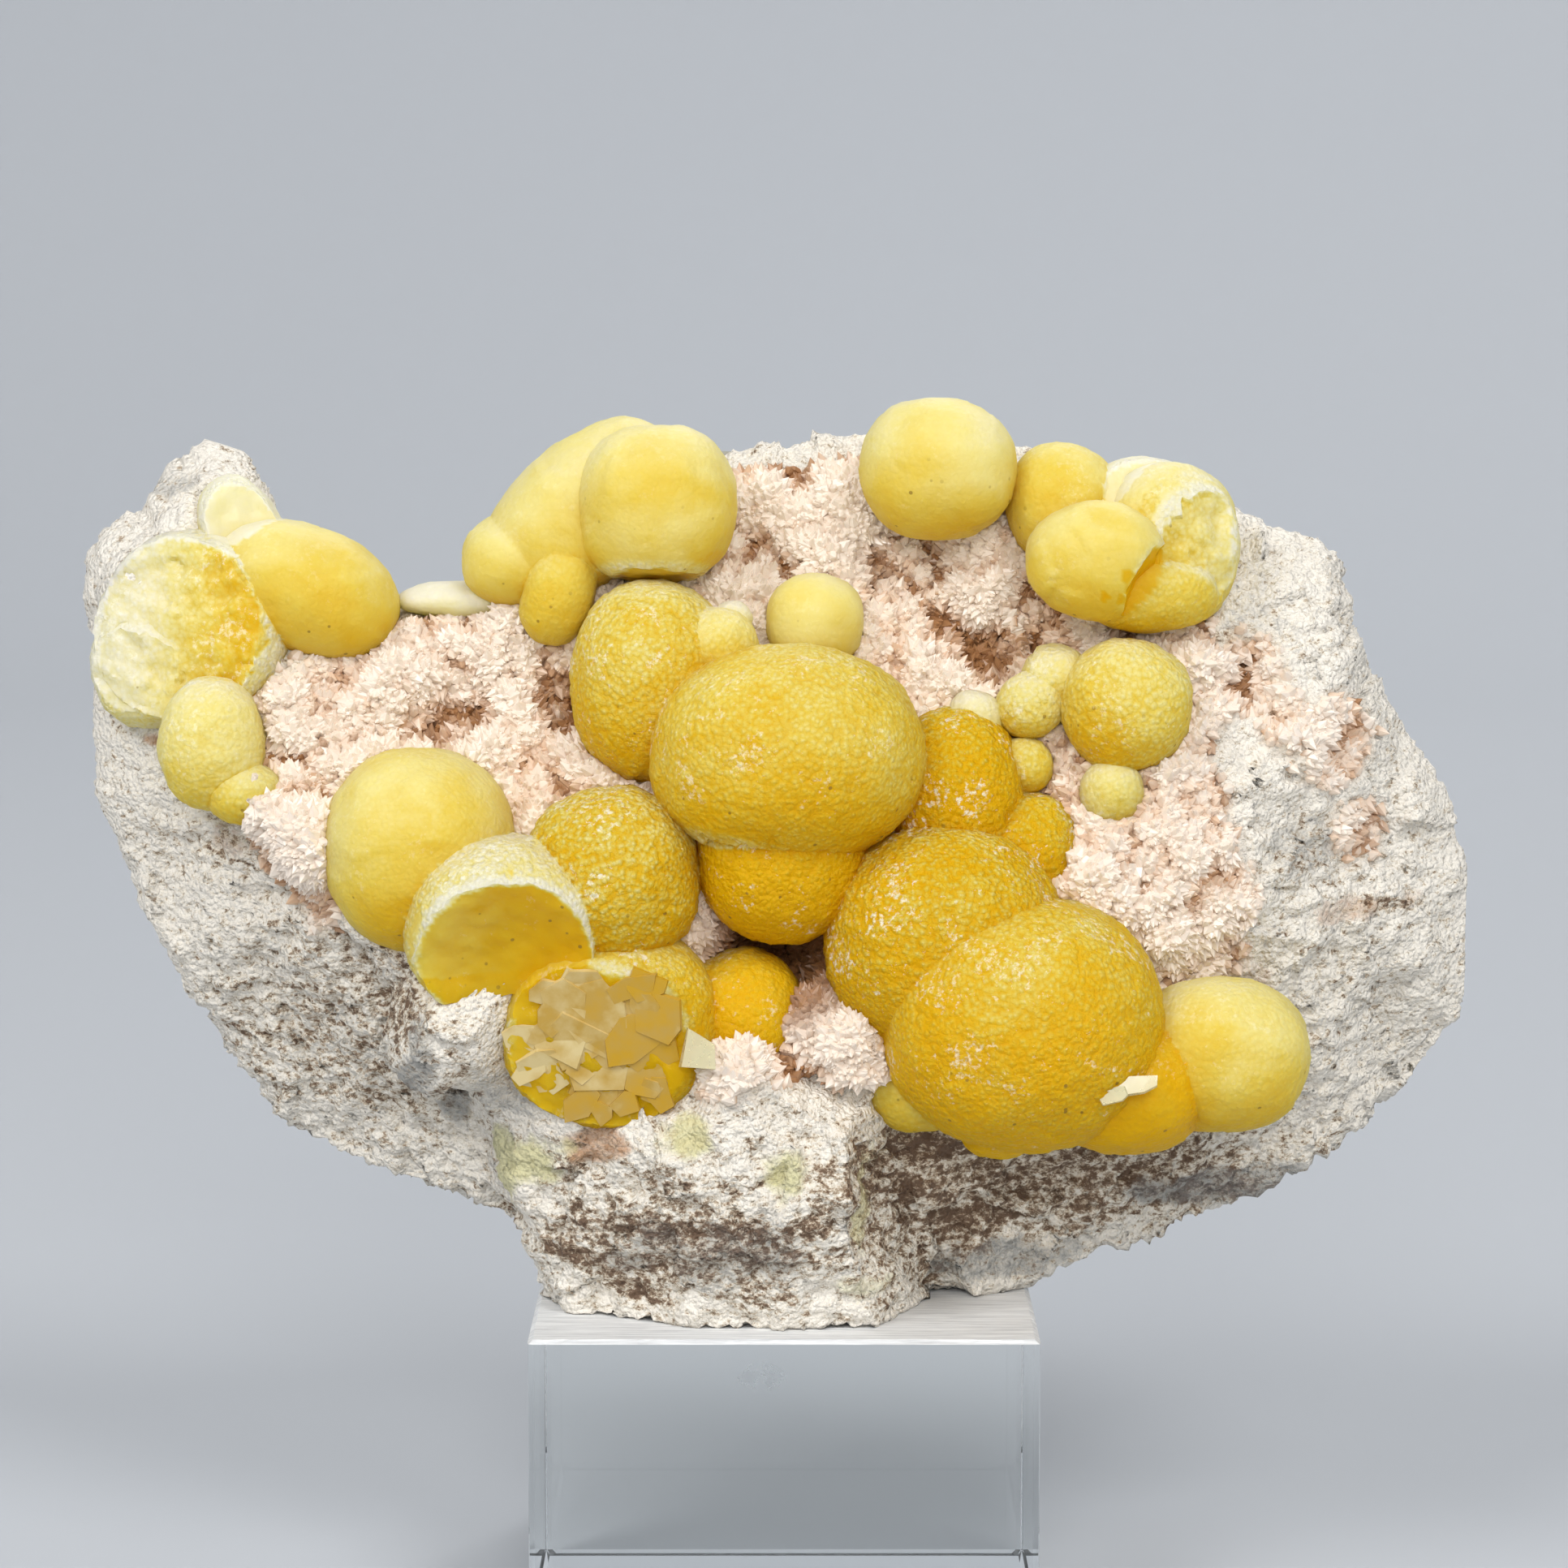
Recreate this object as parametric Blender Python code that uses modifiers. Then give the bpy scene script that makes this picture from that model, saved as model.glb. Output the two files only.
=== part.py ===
"""Fluorite specimen on its stand.

Yellow fluorite grew in balls over a crust of small quartz points, on a broken piece of
quartz rock with a smooth chalcedony back. The rock balances on a clear block.

Axes: X to the right, Y away from the viewer, Z up. The origin is the centre of the
block's bottom face. The sizes below are millimetres, and the specimen's heights are
measured from the block's top face, where its parent empty stands.
"""
import math
import random

import bmesh
import bpy
from mathutils import Euler, Vector, noise
from mathutils.bvhtree import BVHTree

MM = 0.001
# Air between pieces that touch
GAP = 0.3
# A sharp corner grows by at most this many gaps
GROWTH_LIMIT = 1.5

# Stand
BLOCK_SIDE = 50.0
BLOCK_HEIGHT = 31.0
BLOCK_EDGE = 0.4

# Rock outline as (x, height), in four edges that meet at the corners
LEFT_EDGE = [(-51, 15), (-57.5, 23), (-62, 30.5), (-65, 37.5), (-68.5, 45), (-70.5, 54),
             (-70.5, 64), (-69.5, 71), (-64, 76.5)]
TOP_EDGE = [(-64, 76.5), (-61, 80.5), (-57, 82.5), (-50, 75), (-40, 69), (-33, 70.5),
            (-25, 76), (-17, 83), (-11, 85.5), (0, 85), (8, 86.5), (19, 87), (27, 84.5),
            (42, 81), (50.5, 77), (56.5, 74.5)]
RIGHT_EDGE = [(65.5, 20.5), (70, 28.5), (71, 35), (69.5, 43), (66, 53.5), (60, 62),
              (57, 67), (56.5, 74.5)]
BOTTOM_EDGE = [(-51, 15), (-45, 12.5), (-34, 9.5), (-27.5, 6.5), (-23, 0), (0, 0),
               (22.5, 0), (36, 4), (48, 8.5), (58, 14), (65.5, 20.5)]
# The front and back rims lie this share inside the outline
RIM_INSET = 0.03
# Cells of the rock's surface across, up and through
ROCK_CELLS = (25, 16, 4)

# Broken faces of the rock: x, height, depth there, slope along x, slope along height
FRONT_FACES = {
    "druse slope": (0, 45, 12, 0, -0.4),
    "underside": (12, 22, 15, -0.35, 0.35),
    "right shoulder": (45, 45, 10, -0.5, 0),
    "left shoulder": (-40, 45, 10, 0.35, 0),
    "lower left": (-35, 35, 10, 0.3, 0.4),
    "lower right": (52, 30, 9, -0.45, 0.5),
}
LUMP_FACES = {
    "front": (0, 20, 22, 0, -0.25),
    "foot": (0, 3, 21, 0, 0.3),
    "right cliff": (8, 11, 20, -2.2, -0.2),
    "top slope": (8, 20, 21, -0.58, -1.4),
}
# The cliff at the lump's left runs down in two straight stretches, each a point and
# the direction that faces the lump
CLIFF_UPPER = (-45.5, 42.5, 0.78, 0.63)
CLIFF_LOWER = (-31.0, 24.5, 0.93, 0.37)
CLIFF_HEAD = 13.0
CLIFF_STEEP = 3.5
CLIFF_GENTLE = 0.6
BACK_FACES = {
    "middle": (0, 50, 23, 0.04, -0.05),
    "left": (-30, 45, 21, 0.22, 0.04),
    "right": (30, 45, 21, -0.28, 0),
    "top": (0, 60, 24, 0, -0.38),
    "bottom": (0, 20, 21, 0, 0.35),
}
# Rounded chalcedony swellings on the back: x, height, radius, rise
BACK_LOBES = [(-52, 58, 15, 3.5), (-34, 38, 17, 4), (-12, 58, 18, 4), (14, 38, 19, 4.5),
              (20, 68, 15, 3), (44, 50, 17, 4), (-16, 14, 15, 4.5), (36, 22, 14, 3.5)]
# Pits in the front: x, height, radius, depth
FRONT_PITS = [(18, 66.5, 5, 4), (28, 52, 4, 3), (46.5, 63, 4, 3), (55, 56, 4, 2.5),
              (62, 26, 7, 3), (-1, 36, 10, 8), (58, 45, 6, 2), (-50, 28, 7, 2.5)]
RIM_DROP = 3.0
# Roughness of the broken faces and of the smooth back
ROUGH_WAVE = 9.0
ROUGH_HEIGHT = 2.0
SMOOTH_HEIGHT = 0.3

# Quartz crust: its border as (x, height), the size of a crystal, and its height
DRUSE_BORDER = [(-54, 62), (-44.5, 67), (-38, 69.5), (-26, 73), (-17, 80), (-10, 84.5),
                (7.5, 85), (27, 79), (42, 72), (46, 62), (44, 54), (50, 42), (54, 32),
                (40, 26), (6, 24), (-8, 24), (-14, 38), (-28, 44), (-46, 38), (-53, 46)]
CRYSTAL_WIDTH = 3.4
DRUSE_THICKNESS = 1.0
CRYSTAL_HEIGHT = (0.9, 2.2)
DRUSE_ROOT = 5.0

# Fluorite balls: centre x, y, height, then half width, half depth, half height
LEFT_BALLS = {
    "right ball": (-47.5, 0, 71, 9.2, 8, 7.2),
    "broken ball": (-58, -4.5, 68, 7.8, 8.5, 8.5),
    "lower ball": (-57, -7.5, 56.5, 5.5, 5, 7),
    "small ball": (-53.5, -9, 51.5, 4, 3.5, 3.2),
    "top chip": (-54, 0.5, 77.5, 4.5, 5.5, 5.5),
    "rim patch": (-63, -1.5, 65.5, 7.5, 6.5, 6.5),
}
MAIN_BALLS = {
    "upper ball": (-13, -4, 80.5, 8, 8, 7.8),
    "upper left lobe": (-24.5, 0, 77.5, 7.9, 7, 6.4),
    "upper peak": (-18.5, 1, 82.5, 6.2, 6, 6),
    "upper foot": (-20.5, -3, 73.5, 5.2, 5.5, 7.5),
    "centre back": (-13, -7, 62.5, 8.6, 9, 10.5),
    "centre saddle": (-7, -9, 66, 4.8, 5, 4.4),
    "centre bead": (-5, -7, 69, 2.1, 2, 1.8),
    "centre top": (3, -5, 68.5, 5.2, 4.5, 4.9),
    "cap": (0, -13, 58, 13.8, 12, 10.1),
    "nose": (-0.5, -13, 48.5, 9.2, 9.5, 9.3),
    "back ridge": (17, -8, 50.5, 7.3, 8, 10.1),
    "ridge foot": (24, -9, 46, 5.8, 6, 6.1),
    "middle ball": (16, -13, 37.5, 12.4, 12, 12),
    "front ball": (23.5, -17, 30, 14.3, 13, 12.9),
    "amber ball": (33.5, -16, 24, 9, 8.5, 7.4),
    "lemon ball": (43, -15, 26.5, 9.3, 8, 7.9),
    "left foot": (13.5, -14, 23, 6, 5, 4.7),
    "right ball": (34, -8, 60.3, 6.6, 6.4, 6.4),
    "right pair": (24.5, -7, 60.3, 3.7, 3.6, 3.6),
    "right pair top": (27, -6, 63, 3.6, 3.5, 3.4),
    "right bead": (19, -7, 59, 3, 3, 3),
    "right lower bead": (24, -8, 54.3, 3.1, 3, 3),
    "right last bead": (32.5, -10, 52, 3.3, 3, 3.3),
    "lower left ball": (-36, -12, 46.5, 9.9, 10, 10.4),
    "frosted ball": (-17, -14, 44, 9.2, 9, 9.1),
    "broken dome": (-27.5, -17, 39.5, 10.1, 10.5, 9.5),
    "broken ball": (-13.5, -15, 33, 8.3, 9.5, 10),
    "shaded ball": (-5, -12, 30, 6.7, 7, 7.5),
}
UPPER_RIGHT_BALLS = {
    "left ball": (15.5, -2, 83.5, 8.1, 7.5, 7.4),
    "saddle ball": (28, 0, 80, 6, 6, 6.3),
    "lens": (31, -7, 74.7, 7.2, 6, 6.2),
    "big ball": (38.5, -2, 75.8, 7.5, 7, 8.6),
    "top disc": (36, 0, 79.8, 6.9, 6, 4.9),
    "lower disc": (36.3, -5, 71.5, 7.1, 5, 4.3),
}
# Broken balls are split along flat planes: a point and the way that the piece is gone
BREAKS = {
    ("fluorite_left", "broken ball"): [((-58, -9, 68), (-0.5, -0.86, 0.05))],
    ("fluorite_left", "rim patch"): [((-64, -5.5, 66), (-0.35, -0.93, 0))],
    ("fluorite_main", "broken dome"): [((-27, -20, 38), (0.1, -0.75, -0.65))],
    ("fluorite_main", "broken ball"): [((-17, -21, 31), (-0.45, -0.8, -0.35)),
                                       ((-9, -21.5, 30), (0.5, -0.8, -0.3))],
    ("fluorite_upper_right", "lens"): [((37, -9, 72), (0.8, -0.35, -0.45))],
}
# The size of a ball's facets, and the fewest round a ball
FACET = 5.6
FEWEST_FACETS = 8
# A loose cube-shaped chip on the broken ball
CHIP_PLACE = (-8, -21.8, 28.4)
CHIP_SIDE = 3.2
CHIP_TURN = (0.2, 0.3, 0.15)


def clear_scene():
    for old in list(bpy.data.objects):
        bpy.data.objects.remove(old, do_unlink=True)


def new_collection(name, hidden=False):
    collection = bpy.data.collections.new(name)
    bpy.context.scene.collection.children.link(collection)
    collection.hide_render = hidden
    return collection


def new_material(name, colour, roughness, transmission=0.0, ior=1.5):
    material = bpy.data.materials.new(name)
    material.use_nodes = True
    shader = material.node_tree.nodes["Principled BSDF"]
    shader.inputs["Base Color"].default_value = (*colour, 1.0)
    shader.inputs["Roughness"].default_value = roughness
    shader.inputs["Metallic"].default_value = 0.0
    shader.inputs["Transmission Weight"].default_value = transmission
    shader.inputs["IOR"].default_value = ior
    return material


def add_object(bm, name, collection, parent=None, material=None):
    """Scale a mesh from millimetres to metres and make it an object."""
    bmesh.ops.scale(bm, vec=(MM, MM, MM), verts=bm.verts)
    bmesh.ops.recalc_face_normals(bm, faces=bm.faces)
    mesh = bpy.data.meshes.new(name)
    bm.to_mesh(mesh)
    bm.free()
    if material:
        mesh.materials.append(material)
    obj = bpy.data.objects.new(name, mesh)
    obj.parent = parent
    collection.objects.link(obj)
    return obj


def add_cutter(obj, name, parent):
    """A cutter stays as a wire outline in its own collection."""
    obj.name = name
    obj.parent = parent
    obj.hide_render = True
    obj.display_type = "WIRE"
    return obj


def combine(obj, other, operation, solver="EXACT"):
    modifier = obj.modifiers.new(operation.title() + " " + other.name, "BOOLEAN")
    modifier.operation = operation
    modifier.solver = solver
    modifier.object = other


def body_of(vert):
    """The vertices that edges join to one vertex."""
    found = {vert}
    waiting = [vert]
    while waiting:
        for edge in waiting.pop().link_edges:
            for other in edge.verts:
                if other not in found:
                    found.add(other)
                    waiting.append(other)
    return found


def settle(obj):
    """Apply the cuts and drop the loose crumbs that they leave."""
    bpy.context.view_layer.update()
    evaluated = obj.evaluated_get(bpy.context.evaluated_depsgraph_get())
    mesh = bpy.data.meshes.new_from_object(evaluated)
    obj.modifiers.clear()
    obj.data = mesh
    bm = bmesh.new()
    bm.from_mesh(mesh)
    left = set(bm.verts)
    bodies = []
    while left:
        bodies.append(body_of(next(iter(left))))
        left -= bodies[-1]
    bodies.sort(key=len)
    crumbs = [vert for body in bodies[:-1] for vert in body]
    bmesh.ops.delete(bm, geom=crumbs, context="VERTS")
    bm.to_mesh(mesh)
    bm.free()


def along(points, share):
    """The point at a share of a broken line's length."""
    steps = [math.dist(p, q) for p, q in zip(points, points[1:])]
    left = share * sum(steps)
    for start, end, step in zip(points, points[1:], steps):
        if left <= step:
            return Vector(start).lerp(Vector(end), left / step)
        left -= step
    return Vector(points[-1])


def outline_point(u, v):
    """Blend the four edges into a place (x, height) for shares u across and v up."""
    sides = (1 - v) * along(BOTTOM_EDGE, u) + v * along(TOP_EDGE, u)
    sides += (1 - u) * along(LEFT_EDGE, v) + u * along(RIGHT_EDGE, v)
    low = Vector(BOTTOM_EDGE[0]).lerp(Vector(BOTTOM_EDGE[-1]), u)
    high = Vector(TOP_EDGE[0]).lerp(Vector(TOP_EDGE[-1]), u)
    return sides - low.lerp(high, v)


def lowest(faces, x, h):
    """The solid that lies behind all of the broken faces."""
    return min(out + along_x * (x - x0) + along_h * (h - h0)
               for x0, h0, out, along_x, along_h in faces.values())


def from_line(line, x, h):
    x0, h0, across, up = line
    return across * (x - x0) + up * (h - h0)


def front_depth(x, h):
    """How far the rock stands out towards the viewer."""
    cliff = max(from_line(CLIFF_UPPER, x, h), from_line(CLIFF_LOWER, x, h))
    slope = CLIFF_GENTLE if cliff > 0 else CLIFF_STEEP
    lump = min(lowest(LUMP_FACES, x, h), CLIFF_HEAD + slope * cliff)
    depth = max(lowest(FRONT_FACES, x, h), lump)
    for x0, h0, radius, down in FRONT_PITS:
        depth -= down * max(0, 1 - math.dist((x, h), (x0, h0)) / radius)
    return depth


def back_depth(x, h):
    """How far the rock reaches back, with its rounded swellings."""
    depth = lowest(BACK_FACES, x, h)
    for x0, h0, radius, rise in BACK_LOBES:
        near = math.dist((x, h), (x0, h0)) / radius
        depth += rise * max(0, 1 - near * near)
    return depth


def rock_point(across, through, up):
    """Carry a point of a box that runs from -1 to 1 onto the rock."""
    x, h = outline_point((across + 1) / 2, (up + 1) / 2)
    inset = 1 - RIM_INSET * through * through
    x, h = x * inset, h * inset
    rim = max(abs(across), up) ** 8
    front = RIM_DROP * rim - front_depth(x, h)
    back = back_depth(x, h) - RIM_DROP * rim
    return Vector((x, front + (back - front) * (through + 1) / 2, h))


def cut_box(bm, axis, cells):
    """Divide a box's edges that run along one axis."""
    edges = [e for e in bm.edges
             if abs((e.verts[1].co - e.verts[0].co).normalized()[axis]) > 0.99]
    bmesh.ops.subdivide_edges(bm, edges=edges, cuts=cells - 1, use_grid_fill=True)


def roughen(bm):
    """Push the rock's surface in and out, less on the smooth back."""
    bm.normal_update()
    moves = []
    for vert in bm.verts:
        wave = noise.noise(vert.co / ROUGH_WAVE) + 0.6 * noise.noise(vert.co * 2.3 / ROUGH_WAVE)
        height = SMOOTH_HEIGHT if vert.normal.y > 0.5 else ROUGH_HEIGHT
        moves.append(vert.normal * wave * height)
    for vert, move in zip(bm.verts, moves):
        vert.co += move
        vert.co.z = max(vert.co.z, GAP)


def rock_mesh():
    bm = bmesh.new()
    bmesh.ops.create_cube(bm, size=2)
    across, up, through = ROCK_CELLS
    cut_box(bm, 0, across)
    cut_box(bm, 2, up)
    cut_box(bm, 1, through)
    for vert in bm.verts:
        vert.co = rock_point(*vert.co)
    bmesh.ops.recalc_face_normals(bm, faces=bm.faces)
    roughen(bm)
    bmesh.ops.triangulate(bm, faces=bm.faces)
    return bm


def grown(bm):
    """A copy of a mesh that is larger by the gap all round."""
    copy = bm.copy()
    copy.normal_update()
    places = [v.co + v.normal * min(v.calc_shell_factor(), GROWTH_LIMIT) * GAP
              for v in copy.verts]
    for vert, place in zip(copy.verts, places):
        vert.co = place
    return copy


def inside(border, x, h):
    """Even-odd test of a place against a closed border."""
    hit = False
    for (x0, h0), (x1, h1) in zip(border, border[1:] + border[:1]):
        if (h0 > h) != (h1 > h) and x < x0 + (x1 - x0) * (h - h0) / (h1 - h0):
            hit = not hit
    return hit


def druse_mesh(rock):
    """A sheet of crystals that stand out from the rock, with their roots inside it."""
    tree = BVHTree.FromBMesh(rock)
    chance = random.Random(4)
    bm = bmesh.new()
    xs = [x for x, _ in DRUSE_BORDER]
    hs = [h for _, h in DRUSE_BORDER]
    columns = round((max(xs) - min(xs)) / CRYSTAL_WIDTH)
    rows = round((max(hs) - min(hs)) / CRYSTAL_WIDTH)
    bmesh.ops.create_grid(bm, x_segments=columns, y_segments=rows, size=0.5)
    for vert in bm.verts:
        x = min(xs) + (vert.co.x + 0.5) * (max(xs) - min(xs))
        h = min(hs) + (vert.co.y + 0.5) * (max(hs) - min(hs))
        x += chance.uniform(-0.25, 0.25) * CRYSTAL_WIDTH
        h += chance.uniform(-0.25, 0.25) * CRYSTAL_WIDTH
        place, _, _, _ = tree.ray_cast(Vector((x, -100, h)), Vector((0, 1, 0)))
        depth = place.y if place else 0
        vert.co = Vector((x, depth - DRUSE_THICKNESS, h))
    outside = [f for f in bm.faces
               if not inside(DRUSE_BORDER, f.calc_center_median().x, f.calc_center_median().z)]
    bmesh.ops.delete(bm, geom=outside, context="FACES")
    fronts = list(bm.faces)
    roots = bmesh.ops.extrude_face_region(bm, geom=fronts)["geom"]
    for vert in [g for g in roots if isinstance(g, bmesh.types.BMVert)]:
        vert.co.y += DRUSE_ROOT
    tips = bmesh.ops.poke(bm, faces=fronts)["verts"]
    for tip in tips:
        lean = Vector((chance.uniform(-0.4, 0.4), -1, chance.uniform(0, 0.6)))
        tip.co += lean.normalized() * chance.uniform(*CRYSTAL_HEIGHT)
    return bm


def ball_mesh(size, breaks, growth):
    x, y, h, wide, deep, high = size
    bm = bmesh.new()
    round_it = max(FEWEST_FACETS, round(2 * math.pi * max(wide, high) / FACET))
    bmesh.ops.create_uvsphere(bm, u_segments=round_it, v_segments=round_it // 2 + 1, radius=1)
    bmesh.ops.rotate(bm, verts=bm.verts, matrix=Euler((x, y, h)).to_matrix())
    swell = 1 / math.cos(math.pi / round_it)
    radii = [radius * swell + growth for radius in (wide, deep, high)]
    bmesh.ops.scale(bm, vec=radii, verts=bm.verts)
    bmesh.ops.translate(bm, vec=(x, y, h), verts=bm.verts)
    for place, gone in breaks:
        normal = Vector(gone).normalized()
        cut = bmesh.ops.bisect_plane(bm, geom=bm.verts[:] + bm.edges[:] + bm.faces[:],
                                     plane_co=Vector(place) + normal * growth,
                                     plane_no=normal, clear_outer=True)["geom_cut"]
        rim = [g for g in cut if isinstance(g, bmesh.types.BMEdge)]
        bmesh.ops.edgeloop_fill(bm, edges=rim)
    return bm


def chip_mesh(growth):
    bm = bmesh.new()
    bmesh.ops.create_cube(bm, size=CHIP_SIDE + 2 * growth)
    bmesh.ops.rotate(bm, verts=bm.verts, matrix=Euler(CHIP_TURN).to_matrix())
    bmesh.ops.translate(bm, vec=CHIP_PLACE, verts=bm.verts)
    return bm


def join_balls(name, balls, collection, growth=0.0):
    """Join overlapping balls into one solid."""
    parts = [ball_mesh(size, BREAKS.get((name, ball), []), growth)
             for ball, size in balls.items()]
    if name == "fluorite_main":
        parts.append(chip_mesh(growth))
    joined = add_object(parts[0], name, collection)
    others = new_collection("others of " + name)
    for index, part in enumerate(parts[1:]):
        add_object(part, name + " part " + str(index), others)
    union = joined.modifiers.new("Join", "BOOLEAN")
    union.operation = "UNION"
    union.solver = "EXACT"
    union.operand_type = "COLLECTION"
    union.collection = others
    settle(joined)
    for part in list(others.objects):
        bpy.data.objects.remove(part, do_unlink=True)
    bpy.data.collections.remove(others)
    return joined


def build_block(collection, material):
    bm = bmesh.new()
    bmesh.ops.create_cube(bm, size=1)
    bmesh.ops.scale(bm, vec=(BLOCK_SIDE, BLOCK_SIDE, BLOCK_HEIGHT), verts=bm.verts)
    block = add_object(bm, "acrylic_block", collection, material=material)
    block.location.z = BLOCK_HEIGHT * MM / 2
    bevel = block.modifiers.new("Edge", "BEVEL")
    bevel.width = BLOCK_EDGE * MM
    bevel.segments = 1
    return block


def build():
    clear_scene()
    solids = new_collection("fluorite_specimen")
    cutters = new_collection("cutters", hidden=True)
    clear = new_material("clear acrylic", (0.9, 0.92, 0.92), 0.05, 1.0, 1.49)
    stone = new_material("quartz rock", (0.8, 0.74, 0.68), 0.7)
    yellow = new_material("fluorite", (0.85, 0.6, 0.12), 0.35, 0.3, 1.43)
    build_block(solids, clear)

    specimen = bpy.data.objects.new("specimen", None)
    specimen.location.z = BLOCK_HEIGHT * MM
    solids.objects.link(specimen)
    rock = rock_mesh()
    rock_clearance = add_object(grown(rock), "rock", cutters)
    add_cutter(rock_clearance, "rock clearance", specimen)
    druse = add_object(druse_mesh(rock), "druse", cutters)
    add_cutter(druse, "druse", specimen)
    matrix = add_object(rock, "matrix", solids, specimen, stone)

    groups = {"fluorite_left": LEFT_BALLS, "fluorite_main": MAIN_BALLS,
              "fluorite_upper_right": UPPER_RIGHT_BALLS}
    for name, balls in groups.items():
        clearance = join_balls(name, balls, cutters, GAP)
        add_cutter(clearance, name + " clearance", specimen)
        combine(druse, clearance, "DIFFERENCE")
        group = join_balls(name, balls, solids)
        group.name = name
        group.parent = specimen
        group.data.materials.clear()
        group.data.materials.append(yellow)
        combine(group, rock_clearance, "DIFFERENCE")
        settle(group)
    # The exact solver leaves this union open, so the other one makes it
    combine(matrix, druse, "UNION", "MANIFOLD")
    settle(matrix)


build()
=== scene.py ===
# %% [markdown]
# # Yellow fluorite on quartz
#
# A hand specimen on a clear block. Fluorite grew in golden balls over a crust of tiny quartz
# points, on a broken piece of quartz rock whose back is smooth chalcedony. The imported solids
# give every piece its place. Here each gets its real surface: meshes are worked out as whole
# arrays of points, and materials are patterns in millimetres, so nothing is painted by hand.

# %% Load the solids
import math
from itertools import product

import bpy
import numpy as np
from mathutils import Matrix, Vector


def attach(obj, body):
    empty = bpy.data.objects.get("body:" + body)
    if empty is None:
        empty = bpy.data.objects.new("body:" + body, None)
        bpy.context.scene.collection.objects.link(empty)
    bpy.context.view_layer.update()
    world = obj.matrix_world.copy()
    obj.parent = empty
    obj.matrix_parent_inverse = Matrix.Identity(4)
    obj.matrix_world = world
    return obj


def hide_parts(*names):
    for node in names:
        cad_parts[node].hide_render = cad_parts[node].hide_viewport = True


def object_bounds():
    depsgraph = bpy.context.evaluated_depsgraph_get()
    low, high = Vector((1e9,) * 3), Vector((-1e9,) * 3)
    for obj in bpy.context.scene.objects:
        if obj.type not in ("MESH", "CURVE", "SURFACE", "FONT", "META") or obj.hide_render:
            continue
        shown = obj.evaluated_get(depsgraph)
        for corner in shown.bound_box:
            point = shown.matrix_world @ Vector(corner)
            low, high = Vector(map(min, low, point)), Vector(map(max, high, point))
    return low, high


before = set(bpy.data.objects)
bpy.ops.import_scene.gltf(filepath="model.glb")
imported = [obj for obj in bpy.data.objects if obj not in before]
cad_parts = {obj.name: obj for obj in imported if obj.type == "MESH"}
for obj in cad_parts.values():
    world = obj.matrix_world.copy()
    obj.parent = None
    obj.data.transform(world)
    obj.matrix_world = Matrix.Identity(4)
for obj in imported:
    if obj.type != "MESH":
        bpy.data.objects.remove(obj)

solid_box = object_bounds()
MM = 0.001
# Heights are measured from the stand's top, as in the source of the solids
STAND_TOP = 31.0
# No piece comes nearer than this to the sides of the box round the solids
BOX_MARGIN = 0.05
LOW = np.array(solid_box[0]) / MM - (0, 0, STAND_TOP) + BOX_MARGIN
HIGH = np.array(solid_box[1]) / MM - (0, 0, STAND_TOP) - BOX_MARGIN
print("solids reach", LOW.round(1), HIGH.round(1))

# %% [markdown]
# ## Random fields
#
# Stone is rough at every size at once. It could be roughened with displacement textures, but
# then nothing else could know where a hollow is. Here the fields are numpy functions: soft
# swellings, grains with a crack between each two, and flat chips. The same numbers move the
# points, place the crystals and stain the hollows, and they are the same in each run.


# %% Swellings
def scatter(cells, salt):
    """A fixed random number from 0 to 1 for each whole-number cell: its three numbers times
    large primes, mixed by exclusive or, cut to 24 bits."""
    mixed = cells[..., 0] * 73856093 ^ cells[..., 1] * 19349663 ^ cells[..., 2] * 83492791
    mixed = (mixed ^ salt * 50331653) & 0xFFFFFFFF
    mixed = (mixed ^ mixed >> 13) * 1274126177 & 0xFFFFFFFF
    return ((mixed ^ mixed >> 15) & 0xFFFFFF) / 0xFFFFFF


def swell(points, size, salt=0):
    """Soft noise from about -0.9 to 0.9. Each corner of a lattice of cubes has a random slope, and
    a point blends the eight slopes round it with the curve 3t^2 - 2t^3."""
    place = points / size
    cell = np.floor(place).astype(np.int64)
    part = place - cell
    ease = part * part * (3 - 2 * part)
    total = 0
    for corner in product((0, 1), repeat=3):
        slopes = np.stack([scatter(cell + corner, salt + k) for k in range(3)], axis=-1)
        weight = np.prod(np.where(corner, ease, 1 - ease), axis=-1)
        total = total + weight * ((part - corner) * (slopes * 2 - 1)).sum(axis=-1)
    return total * 1.5


def crumple(points, size, octaves, salt=0):
    """Swellings on swellings: each octave is half as wide and half as high as the last."""
    return sum(swell(points, size / 2 ** k, salt + 7 * k) / 2 ** k for k in range(octaves))


trial = np.random.default_rng(1).uniform(-40, 40, (2000, 3))
heights = swell(trial, 5)
print("swellings go from", heights.min().round(2), "to", heights.max().round(2))


# %% Grains and chips
def grains(points, size, salt=0):
    """Each cube of a lattice holds one grain centre. Gives the distance to the nearest and to
    the second nearest centre, in grain sizes, and the nearest grain's own random number."""
    place = points / size
    cell = np.floor(place).astype(np.int64)
    near = np.full(len(points), 9.0)
    second = near.copy()
    tone = np.zeros(len(points))
    for step in product((-1, 0, 1), repeat=3):
        other = cell + step
        centre = other + np.stack([scatter(other, salt + k) for k in range(3)], axis=-1)
        away = np.linalg.norm(place - centre, axis=-1)
        second = np.minimum(second, np.maximum(near, away))
        tone = np.where(away < near, scatter(other, salt + 5), tone)
        near = np.minimum(near, away)
    return near, second, tone


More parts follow.
